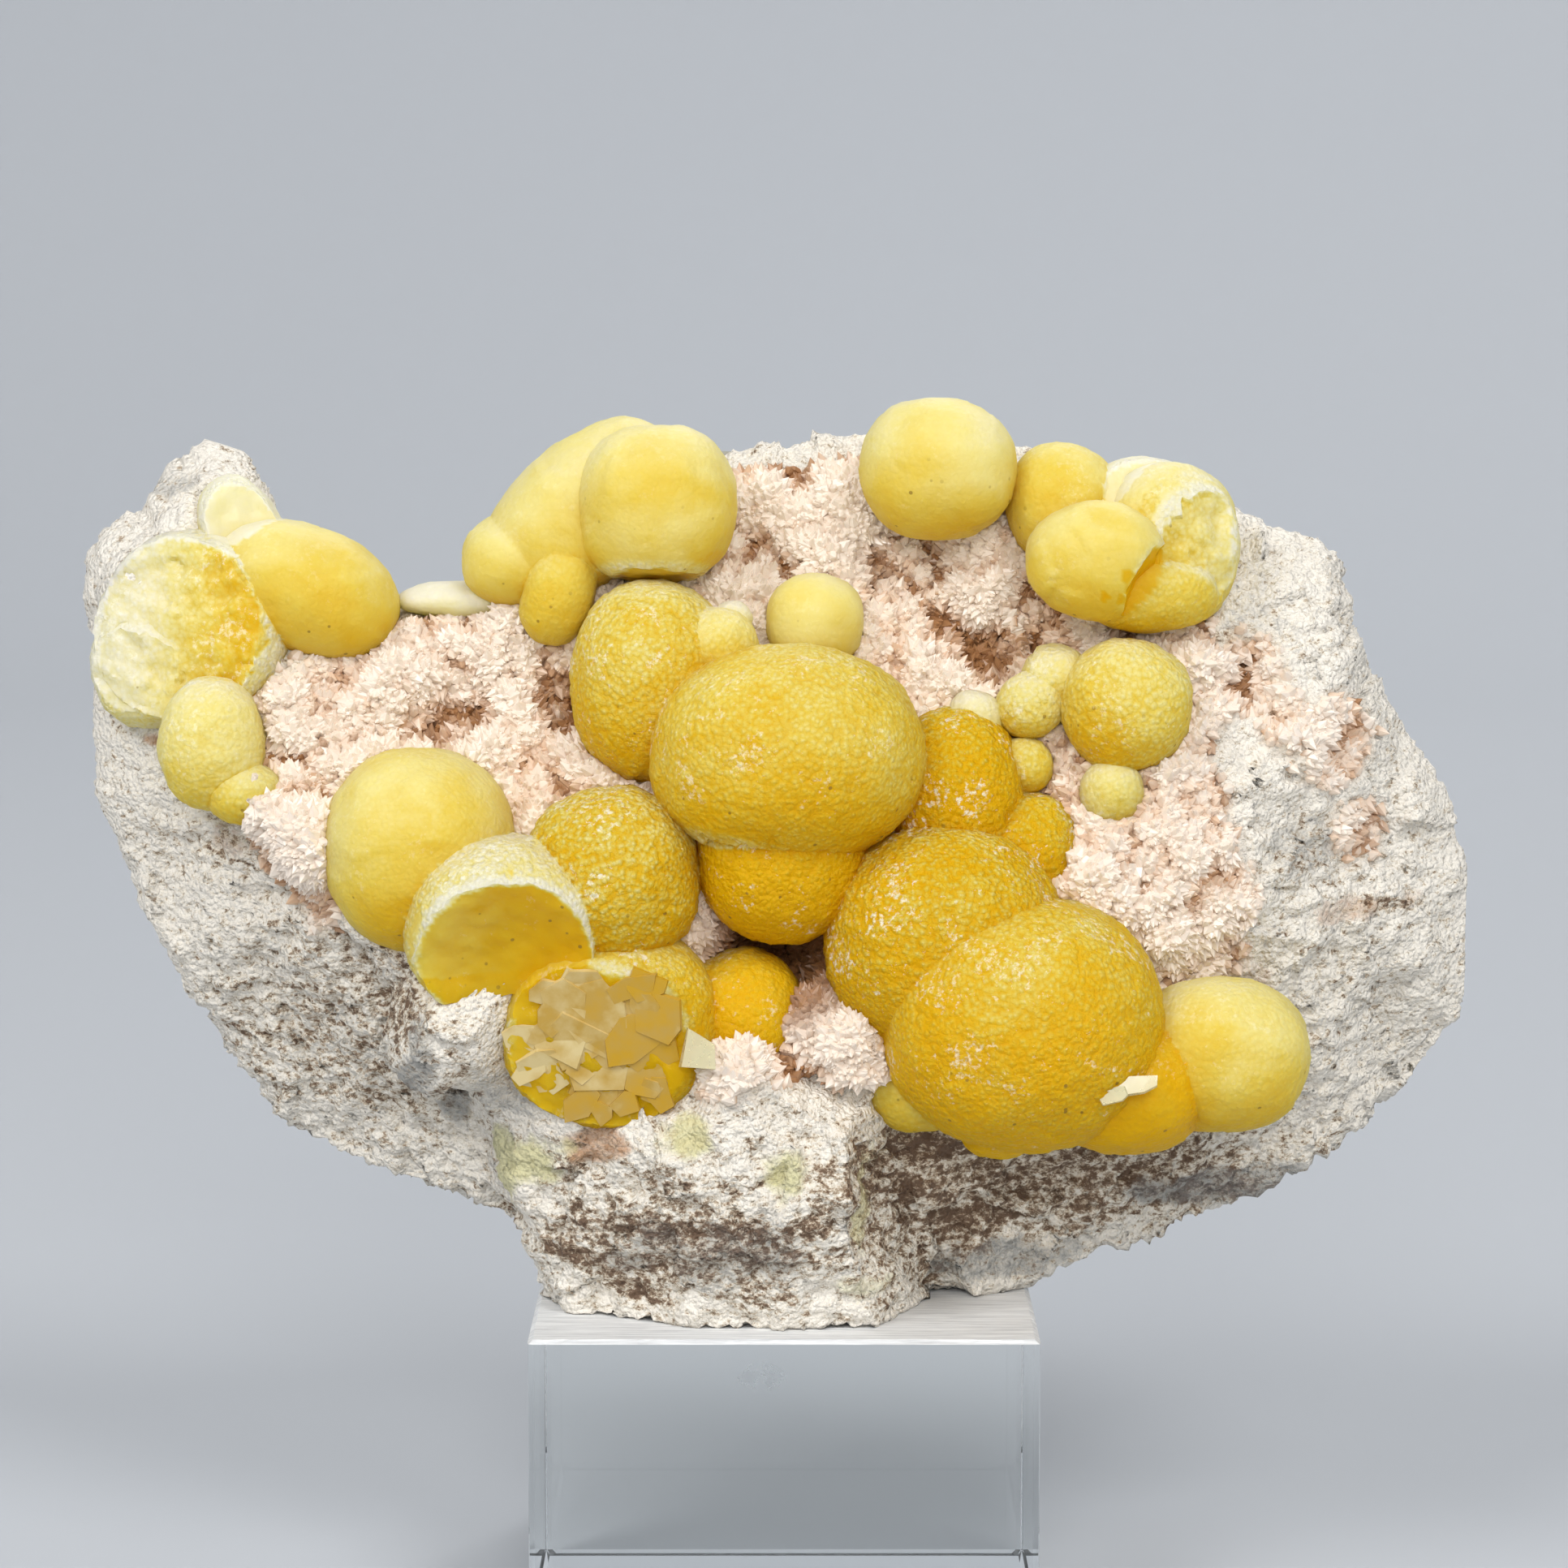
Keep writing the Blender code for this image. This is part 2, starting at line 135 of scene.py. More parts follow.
def facets(points, size, salt=0):
    """Flat chips, mostly from -1 to 1: in each grain the height is a plane through its centre
    with a random tilt, so there is a small step between two grains."""
    place = points / size
    cell = np.floor(place).astype(np.int64)
    near = np.full(len(points), 9.0)
    height = np.zeros(len(points))
    for step in product((-1, 0, 1), repeat=3):
        other = cell + step
        chance = np.stack([scatter(other, salt + k) for k in range(6)], axis=-1)
        offset = place - other - chance[:, :3]
        away = np.linalg.norm(offset, axis=-1)
        tilted = (offset * (chance[:, 3:] * 2 - 1)).sum(axis=-1) * 1.6
        height = np.where(away < near, tilted, height)
        near = np.minimum(near, away)
    return height


def ramp(values, low, high):
    """Rises from 0 at low to 1 at high along the curve 3t^2 - 2t^3."""
    share = np.clip((values - low) / (high - low), 0, 1)
    return share * share * (3 - 2 * share)


heights = facets(trial, 5)
print("chips go from", heights.min().round(2), "to", heights.max().round(2))


# %% [markdown]
# ## From arrays to pieces
#
# A piece is an array of points and, for each face, the numbers of its corners. Blender takes
# both with from_pydata. The normals are worked out here too, because stone is roughened along
# them, and a value for each point, such as how stained it is, goes along as an attribute that
# the materials read.


# %% Faces and normals
def facing(points, faces):
    """Each point's normal: the sum of the cross products of its faces' diagonals, divided by
    its own length."""
    a, b, c, d = (points[faces[:, k]] for k in (0, 1, 2, -1))
    across = np.cross(c - a, d - b)
    total = np.zeros_like(points)
    for k in range(faces.shape[1]):
        for axis in range(3):
            total[:, axis] += np.bincount(faces[:, k], across[:, axis], len(points))
    return total / np.maximum(np.linalg.norm(total, axis=1, keepdims=True), 1e-12)


def grid_faces(numbers):
    """The corners of each cell of a grid of point numbers, in turn round the cell."""
    return np.stack([numbers[:-1, :-1], numbers[:-1, 1:], numbers[1:, 1:], numbers[1:, :-1]],
                    axis=-1).reshape(-1, 4)


def tube_faces(rings):
    """The corners of each cell between rings of point numbers, each ring closed."""
    after = np.roll(rings, -1, axis=1)
    return np.stack([rings[:-1], after[:-1], after[1:], rings[1:]], axis=-1).reshape(-1, 4)


def fan(ring, middle):
    """A triangle on each side of a closed ring of point numbers, with its tip in the middle."""
    return np.stack([ring, np.roll(ring, -1), np.full(len(ring), middle)], axis=-1)


print("a grid of 3 x 3 points has", len(grid_faces(np.arange(9).reshape(3, 3))), "cells")


# %% Make a piece
def put_attribute(mesh, name, values):
    """Keep one number for each point, under a name that materials can read."""
    layer = mesh.attributes.new(name, "FLOAT", "POINT")
    layer.data.foreach_set("value", np.asarray(values, np.float32))


def loose_mesh(name, points, faces):
    """Points are millimetres from the middle of the stand's top, and faces is a list of
    arrays. In metres a point is (point + the stand's height) / 1000."""
    mesh = bpy.data.meshes.new(name)
    corners = [face for group in faces for face in group.tolist()]
    mesh.from_pydata((points + (0, 0, STAND_TOP)) * MM, [], corners)
    return mesh


def new_mesh(name, points, faces):
    """A mesh whose points are moved, where need be, to the nearest place inside the box."""
    return loose_mesh(name, np.clip(points, LOW, HIGH), faces)


def new_object(name, data):
    """Put a mesh, a lamp or a camera in the scene as an object."""
    made = bpy.data.objects.new(name, data)
    bpy.context.scene.collection.objects.link(made)
    return made


def new_piece(name, mesh, materials, node, smooth=True):
    """Put a mesh in the scene. It rides on the specimen's one body and stands for a solid."""
    piece = new_object(name, mesh)
    while len(mesh.materials) < len(materials):
        mesh.materials.append(None)
    for slot, material in enumerate(materials):
        mesh.materials[slot] = material
    mesh.polygons.foreach_set("use_smooth", np.full(len(mesh.polygons), smooth))
    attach(piece, "root")
    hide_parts(node)
    mesh.calc_loop_triangles()
    print(name, len(mesh.vertices), "points,", len(mesh.loop_triangles), "triangles")


# %% [markdown]
# ## Colours and nodes
#
# Colours are given as they look on a screen, and one function turns them to the linear light
# that Cycles reckons with. One small function adds a node of any kind with its settings and
# links, so a material reads like a recipe. Every pattern is laid out in millimetres: a scale
# of 2 means two cells per millimetre.


# %% Colour and node helpers
def linear(colour):
    """sRGB hex to linear red, green, blue: each part c becomes ((c + 0.055) / 1.055)^2.4,
    or c / 12.92 near black."""
    parts = [int(colour[k:k + 2], 16) / 255 for k in (1, 3, 5)]
    return (*[((c + 0.055) / 1.055) ** 2.4 if c > 0.04045 else c / 12.92 for c in parts], 1.0)


def as_value(value):
    """A hex colour as linear light; anything else as it is."""
    return linear(value) if isinstance(value, str) else value


def add_node(tree, kind, inputs=None, out=0, stops=(), **settings):
    """Add a node and give one of its outputs. Settings are the node's own properties, inputs
    are sockets to link, values or hex colours, and stops are a colour ramp's."""
    made = tree.nodes.new("ShaderNode" + kind)
    for key, value in settings.items():
        setattr(made, key, value)
    for key, value in (inputs or {}).items():
        if isinstance(value, bpy.types.NodeSocket):
            tree.links.new(value, made.inputs[key])
        else:
            made.inputs[key].default_value = as_value(value)
    for _ in stops[2:]:
        made.color_ramp.elements.new(0.5)
    for number, (spot, shade) in enumerate(stops):
        element = made.color_ramp.elements[number]
        element.position, element.color = spot, linear(shade)
    return made.outputs[out]


def new_material(name, values):
    """A material whose shader has these values on its own sockets. Gives the material, its
    tree, its shader, and the mesh's points in millimetres."""
    material = bpy.data.materials.new(name)
    material.use_nodes = True
    tree = material.node_tree
    shader = tree.nodes["Principled BSDF"]
    for key, value in values.items():
        shader.inputs[key].default_value = as_value(value)
    place = add_node(tree, "TexCoord", out="Object")
    scaled = add_node(tree, "VectorMath", {0: place, 1: (1000, 1000, 1000)}, operation="MULTIPLY")
    return material, tree, shader, scaled


print("middle grey #808080 is", round(linear("#808080")[0], 3), "in linear light")


# %% [markdown]
# ## The rock's form
#
# The rock is a broken slab of vein quartz. It could be sculpted, but a blend of its four edges
# is easier to fit to what is measured: a place on the face is a share across and a share up.
# The face's depth is where flat breaks meet, and the back's is flat planes with rounded
# swellings. These numbers are the same as in the source of the solids.

# %% Outline, breaks and swellings
# The outline's four edges: x and height
LEFT_EDGE = [(-51, 15), (-57.5, 23), (-62, 30.5), (-65, 37.5), (-68.5, 45), (-70.5, 54),
             (-70.5, 64), (-69.5, 71), (-64, 76.5)]
TOP_EDGE = [(-64, 76.5), (-61, 80.5), (-57, 82.5), (-50, 75), (-40, 69), (-33, 70.5),
            (-25, 76), (-17, 83), (-11, 85.5), (0, 85), (8, 86.5), (19, 87), (27, 84.5),
            (42, 81), (50.5, 77), (56.5, 74.5)]
RIGHT_EDGE = [(65.5, 20.5), (70, 28.5), (71, 35), (69.5, 43), (66, 53.5), (60, 62),
              (57, 67), (56.5, 74.5)]
BOTTOM_EDGE = [(-51, 15), (-45, 12.5), (-34, 9.5), (-27.5, 6.5), (-23, 0), (0, 0),
               (22.5, 0), (36, 4), (48, 8.5), (58, 14), (65.5, 20.5)]
# The slab is narrower by this share at its face and its back than halfway through
RIM_INSET = 0.03
# Flat breaks: x, height, depth there, slope along x, slope along height
FRONT_FACES = [(0, 45, 12, 0, -0.4), (12, 22, 15, -0.35, 0.35), (45, 45, 10, -0.5, 0),
               (-40, 45, 10, 0.35, 0), (-35, 35, 10, 0.3, 0.4), (52, 30, 9, -0.45, 0.5)]
LUMP_FACES = [(0, 20, 22, 0, -0.25), (0, 3, 21, 0, 0.3), (8, 11, 20, -2.2, -0.2),
              (8, 20, 21, -0.58, -1.4)]
BACK_FACES = [(0, 50, 23, 0.04, -0.05), (-30, 45, 21, 0.22, 0.04), (30, 45, 21, -0.28, 0),
              (0, 60, 24, 0, -0.38), (0, 20, 21, 0, 0.35)]
# The cliff at the lump's left, two lines: x, height, and the way to the right across the line
CLIFFS = [(-45.5, 42.5, 0.78, 0.63), (-31.0, 24.5, 0.93, 0.37)]
# How far the cliff's foot stands out, and its slope on the left and on the right of its line
CLIFF_HEAD, CLIFF_STEEP, CLIFF_GENTLE = 13.0, 3.5, 0.6
# Round swellings and pits: x, height, radius, rise
BACK_LOBES = [(-52, 58, 15, 3.5), (-34, 38, 17, 4), (-12, 58, 18, 4), (14, 38, 19, 4.5),
              (20, 68, 15, 3), (44, 50, 17, 4), (-16, 14, 15, 4.5), (36, 22, 14, 3.5)]
FRONT_PITS = [(18, 66.5, 5, 4), (28, 52, 4, 3), (46.5, 63, 4, 3), (55, 56, 4, 2.5),
              (62, 26, 7, 3), (-1, 36, 10, 8), (58, 45, 6, 2), (-50, 28, 7, 2.5)]
# How far the face and the back fall away at the rim, and how close to the rim they start
RIM_DROP, RIM_TURN = 3.0, 8
print(len(FRONT_FACES) + len(LUMP_FACES) + len(BACK_FACES), "flat breaks,", len(BACK_LOBES),
      "swellings,", len(FRONT_PITS), "pits")


# %% Carry a place onto the rock
def along(line, share):
    """The place at a share of a broken line's length: each corner's run is the sum of the
    lengths before it, and places between two corners are blended."""
    line = np.array(line, float)
    run = np.concatenate([[0], np.cumsum(np.hypot(*np.diff(line, axis=0).T))])
    return np.stack([np.interp(share, run / run[-1], line[:, k]) for k in (0, 1)], axis=-1)


def outline(u, v):
    """The blend of the bottom and top edges by v, plus that of the left and right edges by u,
    less the blend of the four corners, which both of them hold."""
    u1, v1 = u[:, None], v[:, None]
    edges = (1 - v1) * along(BOTTOM_EDGE, u) + v1 * along(TOP_EDGE, u)
    edges = edges + (1 - u1) * along(LEFT_EDGE, v) + u1 * along(RIGHT_EDGE, v)
    low = (1 - u1) * np.array(BOTTOM_EDGE[0]) + u1 * np.array(BOTTOM_EDGE[-1])
    high = (1 - u1) * np.array(TOP_EDGE[0]) + u1 * np.array(TOP_EDGE[-1])
    return edges - (1 - v1) * low - v1 * high


def lowest(faces, x, h):
    """The lowest of several planes of the form depth + slope x (x - x0) + slope x (h - h0)."""
    return np.min([d + sx * (x - x0) + sh * (h - h0) for x0, h0, d, sx, sh in faces], axis=0)


def front_depth(x, h):
    """How far the face stands out: the higher of the slope and the lump, less cone-shaped
    pits. The lump ends on its left in a steep cliff."""
    cliff = np.max([ax * (x - x0) + ah * (h - h0) for x0, h0, ax, ah in CLIFFS], axis=0)
    lump = CLIFF_HEAD + np.where(cliff > 0, CLIFF_GENTLE, CLIFF_STEEP) * cliff
    depth = np.maximum(lowest(FRONT_FACES, x, h), np.minimum(lowest(LUMP_FACES, x, h), lump))
    for x0, h0, radius, down in FRONT_PITS:
        depth = depth - down * np.maximum(0, 1 - np.hypot(x - x0, h - h0) / radius)
    return depth


def back_depth(x, h):
    """How far the back reaches: planes with round swellings of the form 1 - r^2."""
    depth = lowest(BACK_FACES, x, h)
    for x0, h0, radius, rise in BACK_LOBES:
        near = np.hypot(x - x0, h - h0) / radius
        depth = depth + rise * np.maximum(0, 1 - near * near)
    return depth


def rock_place(u, v, through):
    """Carry shares across and up, and a way through from -1 (face) to 1 (back), onto the rock:
    the outline times 1 - inset x through^2, and a depth blended from face to back."""
    inset = 1 - RIM_INSET * through * through
    x, h = outline(u, v).T * inset
    rim = np.maximum(np.abs(2 * u - 1), 2 * v - 1) ** RIM_TURN
    front = RIM_DROP * rim - front_depth(x, h)
    back = back_depth(x, h) - RIM_DROP * rim
    return np.stack([x, front + (back - front) * (through + 1) / 2, h], axis=-1)


half = np.full(1, 0.5)
for side, through in (("face", -1), ("back", 1)):
    print("the middle of the rock's", side, "is at", rock_place(half, half, through).round(1))


# %% [markdown]
# A shell is a grid of points over one side of the slab, walls that run from its rim through
# the slab, and a cap that closes it inside the stone. One closed skin of even cells would
# spend most of them at the back. So the rock's broken face is one shell with fine cells, and
# the smooth chalcedony behind it is another with coarse ones.


# %% A shell over one side of the slab
def pot(across, up, rings):
    """The rim and the face corners of a pot: a grid for its floor, rings of the grid's rim one
    above another for its wall, and a fan to one last point for its lid."""
    corner = np.arange(up * across).reshape(up, across)
    rim = np.concatenate([corner[0], corner[1:, -1], corner[-1, -2::-1], corner[-2:0:-1, 0]])
    count = len(rim)
    last = up * across + rings * count
    loops = np.concatenate([rim[None], np.arange(up * across, last).reshape(rings, count)])
    # The wall and the lid lie behind the floor, so their faces are turned over
    walls = tube_faces(loops)[:, [0, 3, 2, 1]]
    return rim, np.concatenate([grid_faces(corner), walls]), fan(loops[-1], last)[:, [1, 0, 2]]


# Shares across and up of a place that sees the whole rim, in spite of the notch at its top
LID_MIDDLE = np.array([[0.15], [0.55]])


def shell(across, up, rings, start, end):
    """The slab's grid at the way through start, rings of its rim to the way end, and a lid."""
    u, v = (g.ravel() for g in np.meshgrid(np.linspace(0, 1, across), np.linspace(0, 1, up)))
    rim, quads, lid = pot(across, up, rings)
    points = [rock_place(u, v, start)]
    for through in np.linspace(start, end, rings + 1)[1:]:
        points.append(rock_place(u[rim], v[rim], through))
    points.append(rock_place(*LID_MIDDLE, end))
    if start > end:
        quads, lid = quads[:, ::-1], lid[:, ::-1]
    return np.concatenate(points), quads, lid


def with_lid(quads, lid):
    """All faces as rows of four corners; a lid's triangle repeats its last corner."""
    return np.concatenate([quads, np.pad(lid, ((0, 0), (0, 1)), mode="edge")])


# The lowest that stone comes over the stand
ABOVE_STAND = 0.02


def raised(points, normal, rise):
    """Each point plus its normal times how far it rises, and never lower than the stand."""
    moved = points + normal * rise[:, None]
    moved[:, 2] = np.maximum(moved[:, 2], ABOVE_STAND)
    return moved


print("a shell of 5 x 4 points and one ring has", len(shell(5, 4, 1, -1, 0)[0]), "points")


# %% The crust's border
# The border of the crust of quartz points on the face: x and height
DRUSE_BORDER = [(-54, 62), (-44.5, 67), (-38, 69.5), (-26, 73), (-17, 80), (-10, 84.5),
                (7.5, 85), (27, 79), (42, 72), (46, 62), (43, 54), (46, 42), (45, 32),
                (40, 26), (6, 24), (-8, 24), (-14, 38), (-28, 44), (-46, 38), (-53, 46)]


def inward(border, x, h):
    """Distance in from a closed border, negative outside: the least distance to its edges,
    with its sign from counting the edges to the right."""
    corners = np.array(border, float)
    least = np.full(len(x), 1e9)
    hit = np.zeros(len(x), bool)
    for (x0, h0), (x1, h1) in zip(corners, np.roll(corners, -1, axis=0)):
        run = np.array([x1 - x0, h1 - h0])
        share = np.clip(((x - x0) * run[0] + (h - h0) * run[1]) / (run @ run), 0, 1)
        least = np.minimum(least, np.hypot(x - x0 - share * run[0], h - h0 - share * run[1]))
        crosses = (h0 > h) != (h1 > h)
        hit ^= crosses & (x < x0 + (h - h0) * run[0] / (run[1] if run[1] else 1))
    return np.where(hit, least, -least)


middle_in = inward(DRUSE_BORDER, np.zeros(1), np.full(1, 55.0))
print("the middle of the crust lies", middle_in.round(1), "mm in from its border")


# %% [markdown]
# ## Roughening the rock
#
# Broken vein quartz looks like coarse sugar: chips a few millimetres wide, grains of about a
# millimetre, and layers that run nearly level. Under the crust of points the stone swells in
# small lumps instead. A Displace modifier could do one of these, but not change from one to
# the other at the crust's border. So both are heights over the same grid, blended by how far
# inside the border a point lies.

# %% The rock's face as a grid
# Points across, points up, and rings of the wall: cells of about 0.4 mm
ROCK_GRID = (322, 208, 12)
# More hollows in the face, round the balls and under the broken dome, and some bumps, which
# have a depth below 0: x, height, reach, depth
FACE_DENTS = [(-27, 41, 6.5, 3.5), (-32.5, 29, 7, -6.5), (-20.5, 29, 8, 3.5), (-13, 36, 8, 2),
              (-14, 26, 9, 3), (-19, 30, 5, 2), (13, 72, 7, 2.5), (-3, 75, 6, 1.5),
              (24, 66, 7, 3.5), (-66, 74, 9, -3.4), (-58, 80, 6, -3), (-34, 60, 6, 3),
              (-22, 62, 5, 2.5), (-0.5, 36.5, 6, 4)]
# Pockets in the right part that are lined with points too: x, height, reach
POCKETS = [(46.5, 63, 4), (55, 56, 4.5), (50.5, 58.5, 3), (58, 47, 3)]
# The crust's border wanders by this much, and no crust grows deeper in than this
BORDER_WANDER, CRUST_DEPTH = 2.5, 6
points, quads, cap = shell(*ROCK_GRID, -1, 0.8)
normal = facing(points, with_lid(quads, cap))
x, depth, h = points.T
border = inward(DRUSE_BORDER, x + BORDER_WANDER * swell(points, 6, 3),
                h + BORDER_WANDER * swell(points, 6, 4))
pocket = np.max([reach - np.hypot(x - x0, h - h0) for x0, h0, reach in POCKETS], axis=0)
crust = ramp(np.maximum(border, pocket), -1, 1.5) * (depth < CRUST_DEPTH)
print("crust covers", f"{(crust > 0.5).mean():.0%} of the rock's points")

# %% Broken stone, lumpy stone and dents
# The slab's ends, the width of the calm band inside them, and its own height and roughness
ENDS, CALM_WIDTH, CALM_RISE, CALM_SHARE = (-71, 71.5), 12, 0.6, 0.45
# Chips 7, 2.8 and 1.3 mm wide, sugar grains of 1.5 mm and flat layers, on swellings of 12 mm
sugar, _, _ = grains(points * (1, 1, 1.25), 1.5, 12)
layers = swell(points * (0.22, 0.4, 1.4), 2.6, 15)
broken = 1.25 * crumple(points, 12, 3, 1) + 0.75 * facets(points, 7, 11)
broken += 0.4 * facets(points, 2.8, 18)
broken += 0.3 * layers + 0.5 * (0.5 - sugar) + 0.25 * facets(points, 1.3, 20)
# Lumps of 6.5 mm with knobs of 2.9 mm, on swellings of 13 mm
lumps, _, _ = grains(points, 6.5, 13)
knobs, _, _ = grains(points, 2.9, 14)
carpet = 0.9 + 1.0 * crumple(points, 13, 2, 1) + 3.3 * (0.45 - lumps) + 1.7 * (0.45 - knobs)
carpet += 0.2 * swell(points, 1.2, 17)
# A dent is depth x (1 - r^2)
sunk = sum(down * np.maximum(0, 1 - (np.hypot(x - x0, h - h0) / reach) ** 2)
           for x0, h0, reach, down in FACE_DENTS)
edge = np.clip(np.minimum(x - ENDS[0], ENDS[1] - x) / CALM_WIDTH, 0, 1)
broken = broken * (CALM_SHARE + (1 - CALM_SHARE) * edge) + CALM_RISE * (1 - edge)
rise = (1 - crust) * broken + crust * carpet - sunk
rise[-1] = 0
rock_points = raised(points, normal, rise)
rock_faces = quads
print("the rock rises by", rise.min().round(1), "to", rise.max().round(1), "mm")

# %% [markdown]
# Hollows are where a point lies lower than its neighbours do on average. Blender's pointiness
# finds them too, but only in Cycles and only at one width. Here the grid of heights is blurred
# at three widths and the differences are summed, and the result goes with the mesh.


# %% How hollow each place is
def blurred(grid, reach):
    """The mean over a square of 2 reach + 1 cells, by running sums along both ways."""
    for axis in (0, 1):
        pad = [(0, 0), (0, 0)]
        pad[axis] = (reach + 1, reach)
        total = np.cumsum(np.pad(grid, pad, mode="edge"), axis=axis)
        size = 2 * reach + 1
        grid = (np.take(total, range(size, total.shape[axis]), axis)
                - np.take(total, range(total.shape[axis] - size), axis)) / size
    return grid


columns, rows, _ = ROCK_GRID
front = columns * rows
# How much each width counts, and how many cells it reaches
WIDTHS = ((1.6, 2), (0.9, 6), (0.35, 16))
lift = rise[:front].reshape(rows, columns) - points[:front, 1].reshape(rows, columns)
hollow = -0.6 * rise
hollow[:front] = sum(share * (blurred(lift, reach) - lift) for share, reach in WIDTHS).ravel()
hollow = np.clip(hollow, -2, 3)
print("hollows from", hollow.min().round(1), "to", hollow.max().round(1))


# %% [markdown]
# ## The rock's finish
#
# Milky quartz scatters light inside, so it is nearly white and has no sharp highlight. Where
# it broke, iron stains follow the hollows and the layers, and the hollows and the places under
# the front balls are also darkened with painted shade. One painted picture could hold this,
# but it would blur near the camera. Procedural noise stays sharp, and the attributes tell it
# where to be white, brown, grey, rusty or green, and where the peach bed of the points lies.

# %% Broken vein quartz
# Quartz has an IOR of 1.54; a broken grainy face is dull
rock_material, tree, shader, place = new_material("broken_vein_quartz", {
    "Roughness": 0.65, "IOR": 1.54})
attribute = {name: add_node(tree, "Attribute", attribute_name=name, out="Fac")
             for name in ("hollow", "crust", "stain_and_shade", "grey", "rust", "green")}
# The layers run nearly level, so patterns are flattened and turned a little
level_place = add_node(tree, "Mapping", {"Vector": place, "Rotation": (0, 0.25, 0),
                                         "Scale": (0.85, 1, 1.25)})
# Clouds from 1 mm down, and sugar grains 0.74 mm wide with a tone each
mottle = add_node(tree, "TexNoise", {"Vector": level_place, "Scale": 1.0, "Detail": 4,
                                     "Roughness": 0.78})
grain = add_node(tree, "TexVoronoi", {"Vector": level_place, "Scale": 1.35}, out="Color")
tone = add_node(tree, "SeparateColor", {0: grain})
spread = add_node(tree, "MapRange", {"Value": mottle, 1: 0.3, 2: 0.62})
grained = add_node(tree, "Math", {0: tone, 1: 0.3, 2: spread}, operation="MULTIPLY_ADD")
# Darkened by iron stains, and by painted shade in the hollows and under the front balls
stained_and_shaded = add_node(tree, "Math", {0: attribute["stain_and_shade"], 1: -0.42, 2: grained},
                  operation="MULTIPLY_ADD")
colour = add_node(tree, "ValToRGB", {"Fac": stained_and_shaded}, stops=[
    (0.0, "#6E5540"), (0.15, "#978068"), (0.31, "#C6B49C"), (0.46, "#ECE2D0"),
    (0.68, "#F8F0E2")])
# A stain is speckled: its share is compared with a noise, so clean grains show in it
for name, shade, low, high in (("grey", "#8F8F8C", 0.95, 1.45), ("rust", "#B07A45", 1.0, 1.5),
                               ("green", "#DAD39C", 0.8, 1.3)):
    level = add_node(tree, "Math", {0: mottle, 1: attribute[name]}, operation="ADD")
    share = add_node(tree, "MapRange", {"Value": level, 1: low, 2: high, 4: 0.85})
    colour = add_node(tree, "Mix", {0: share, 6: colour, 7: shade}, data_type="RGBA", out=2)
# Under the crust: peach where it swells, and brown painted shade where it is deep
under = add_node(tree, "MapRange", {"Value": attribute["crust"], 4: 0.9})
deep = add_node(tree, "MapRange", {"Value": attribute["hollow"], 1: -1.0, 2: 2.2})
bed = add_node(tree, "ValToRGB", {"Fac": deep}, stops=[
    (0.2, "#EBDAC4"), (0.42, "#D8B592"), (0.62, "#A98160"), (0.9, "#6E4A2E")])
colour = add_node(tree, "Mix", {0: under, 6: colour, 7: bed}, data_type="RGBA", out=2)
tree.links.new(colour, shader.inputs["Base Color"])
# A fine bump for grains of 0.5 mm, which the mesh is too coarse for. Real grains go down to
# 0.1 mm, too fine to show
grit = add_node(tree, "TexVoronoi", {"Vector": place, "Scale": 1.9})
fine = add_node(tree, "TexNoise", {"Vector": place, "Scale": 2.2, "Detail": 3,
                                   "Roughness": 0.6})
relief = add_node(tree, "Math", {0: grit, 1: -0.8, 2: fine}, operation="MULTIPLY_ADD")
bump = add_node(tree, "Bump", {"Height": relief, "Strength": 1.0, "Distance": 0.45 * MM})
tree.links.new(bump, shader.inputs["Normal"])
print(rock_material.name, "has", len(tree.nodes), "nodes")

# %% [markdown]
# ## Where the rock is stained and shaded
#
# A stain lies where water stood or ran, so it has a place on the stone, and its edge is
# frayed. Each is an oval patch with a strength. Oval tables are easier to fit to the real
# piece than one big noise, and numpy frays them before they go into the mesh. The brown ovals
# under the front balls at the lower right are painted shadow, and the hollows are darkened
# with painted shade.

# %% Place the stains
# Stained places: x, height, half width, half height, strength
# The brown ovals are iron stains, but those under the front balls at the lower right are painted
# shadow
BROWN_STAINS_AND_SHADOW = [(-43, 28, 17, 14, 0.95), (-39, 36, 6, 8, 1.0), (-9, 8.5, 21, 8, 1.4),
         (-6, 21, 14, 5, 0.3), (26, 12, 26, 8, 1.7), (12, 8, 6, 7, 1.2), (16, 14, 14, 7, 1.6),
         (36, 15, 13, 5, 1.7), (59, 32, 8, 7, 0.25), (54, 45, 8, 4, 0.6),
         (61, 39.3, 4.5, 0.8, 1.6), (39, 69, 5, 3, 0.4), (-57, 46, 8, 5, 0.5),
         (46, 66, 3, 2.5, 0.8), (-3, 6, 3, 3, 1.0), (44, 12, 14, 5, 0.8), (-22, 12, 6, 3, 0.6)]
RUST = [(-18.5, 18, 4, 2, 0.9), (54, 59, 5, 1.5, 0.7), (57, 39, 10, 2.2, 0.7),
        (-63, 56, 2, 1, 0.9), (-38, 40, 4, 8, 0.5), (30, 14, 14, 4, 0.4), (46, 33, 3, 4, 0.6),
        (-9, 19, 2, 1, 0.8), (-0.5, 36, 7, 7, 1.0), (8, 40, 5, 7, 0.7), (20, 68, 6, 3, 0.5),
        (-56, 46, 4, 2, 0.6), (-5, 26, 5, 2, 0.6), (-9, 23, 12, 5, 0.5)]
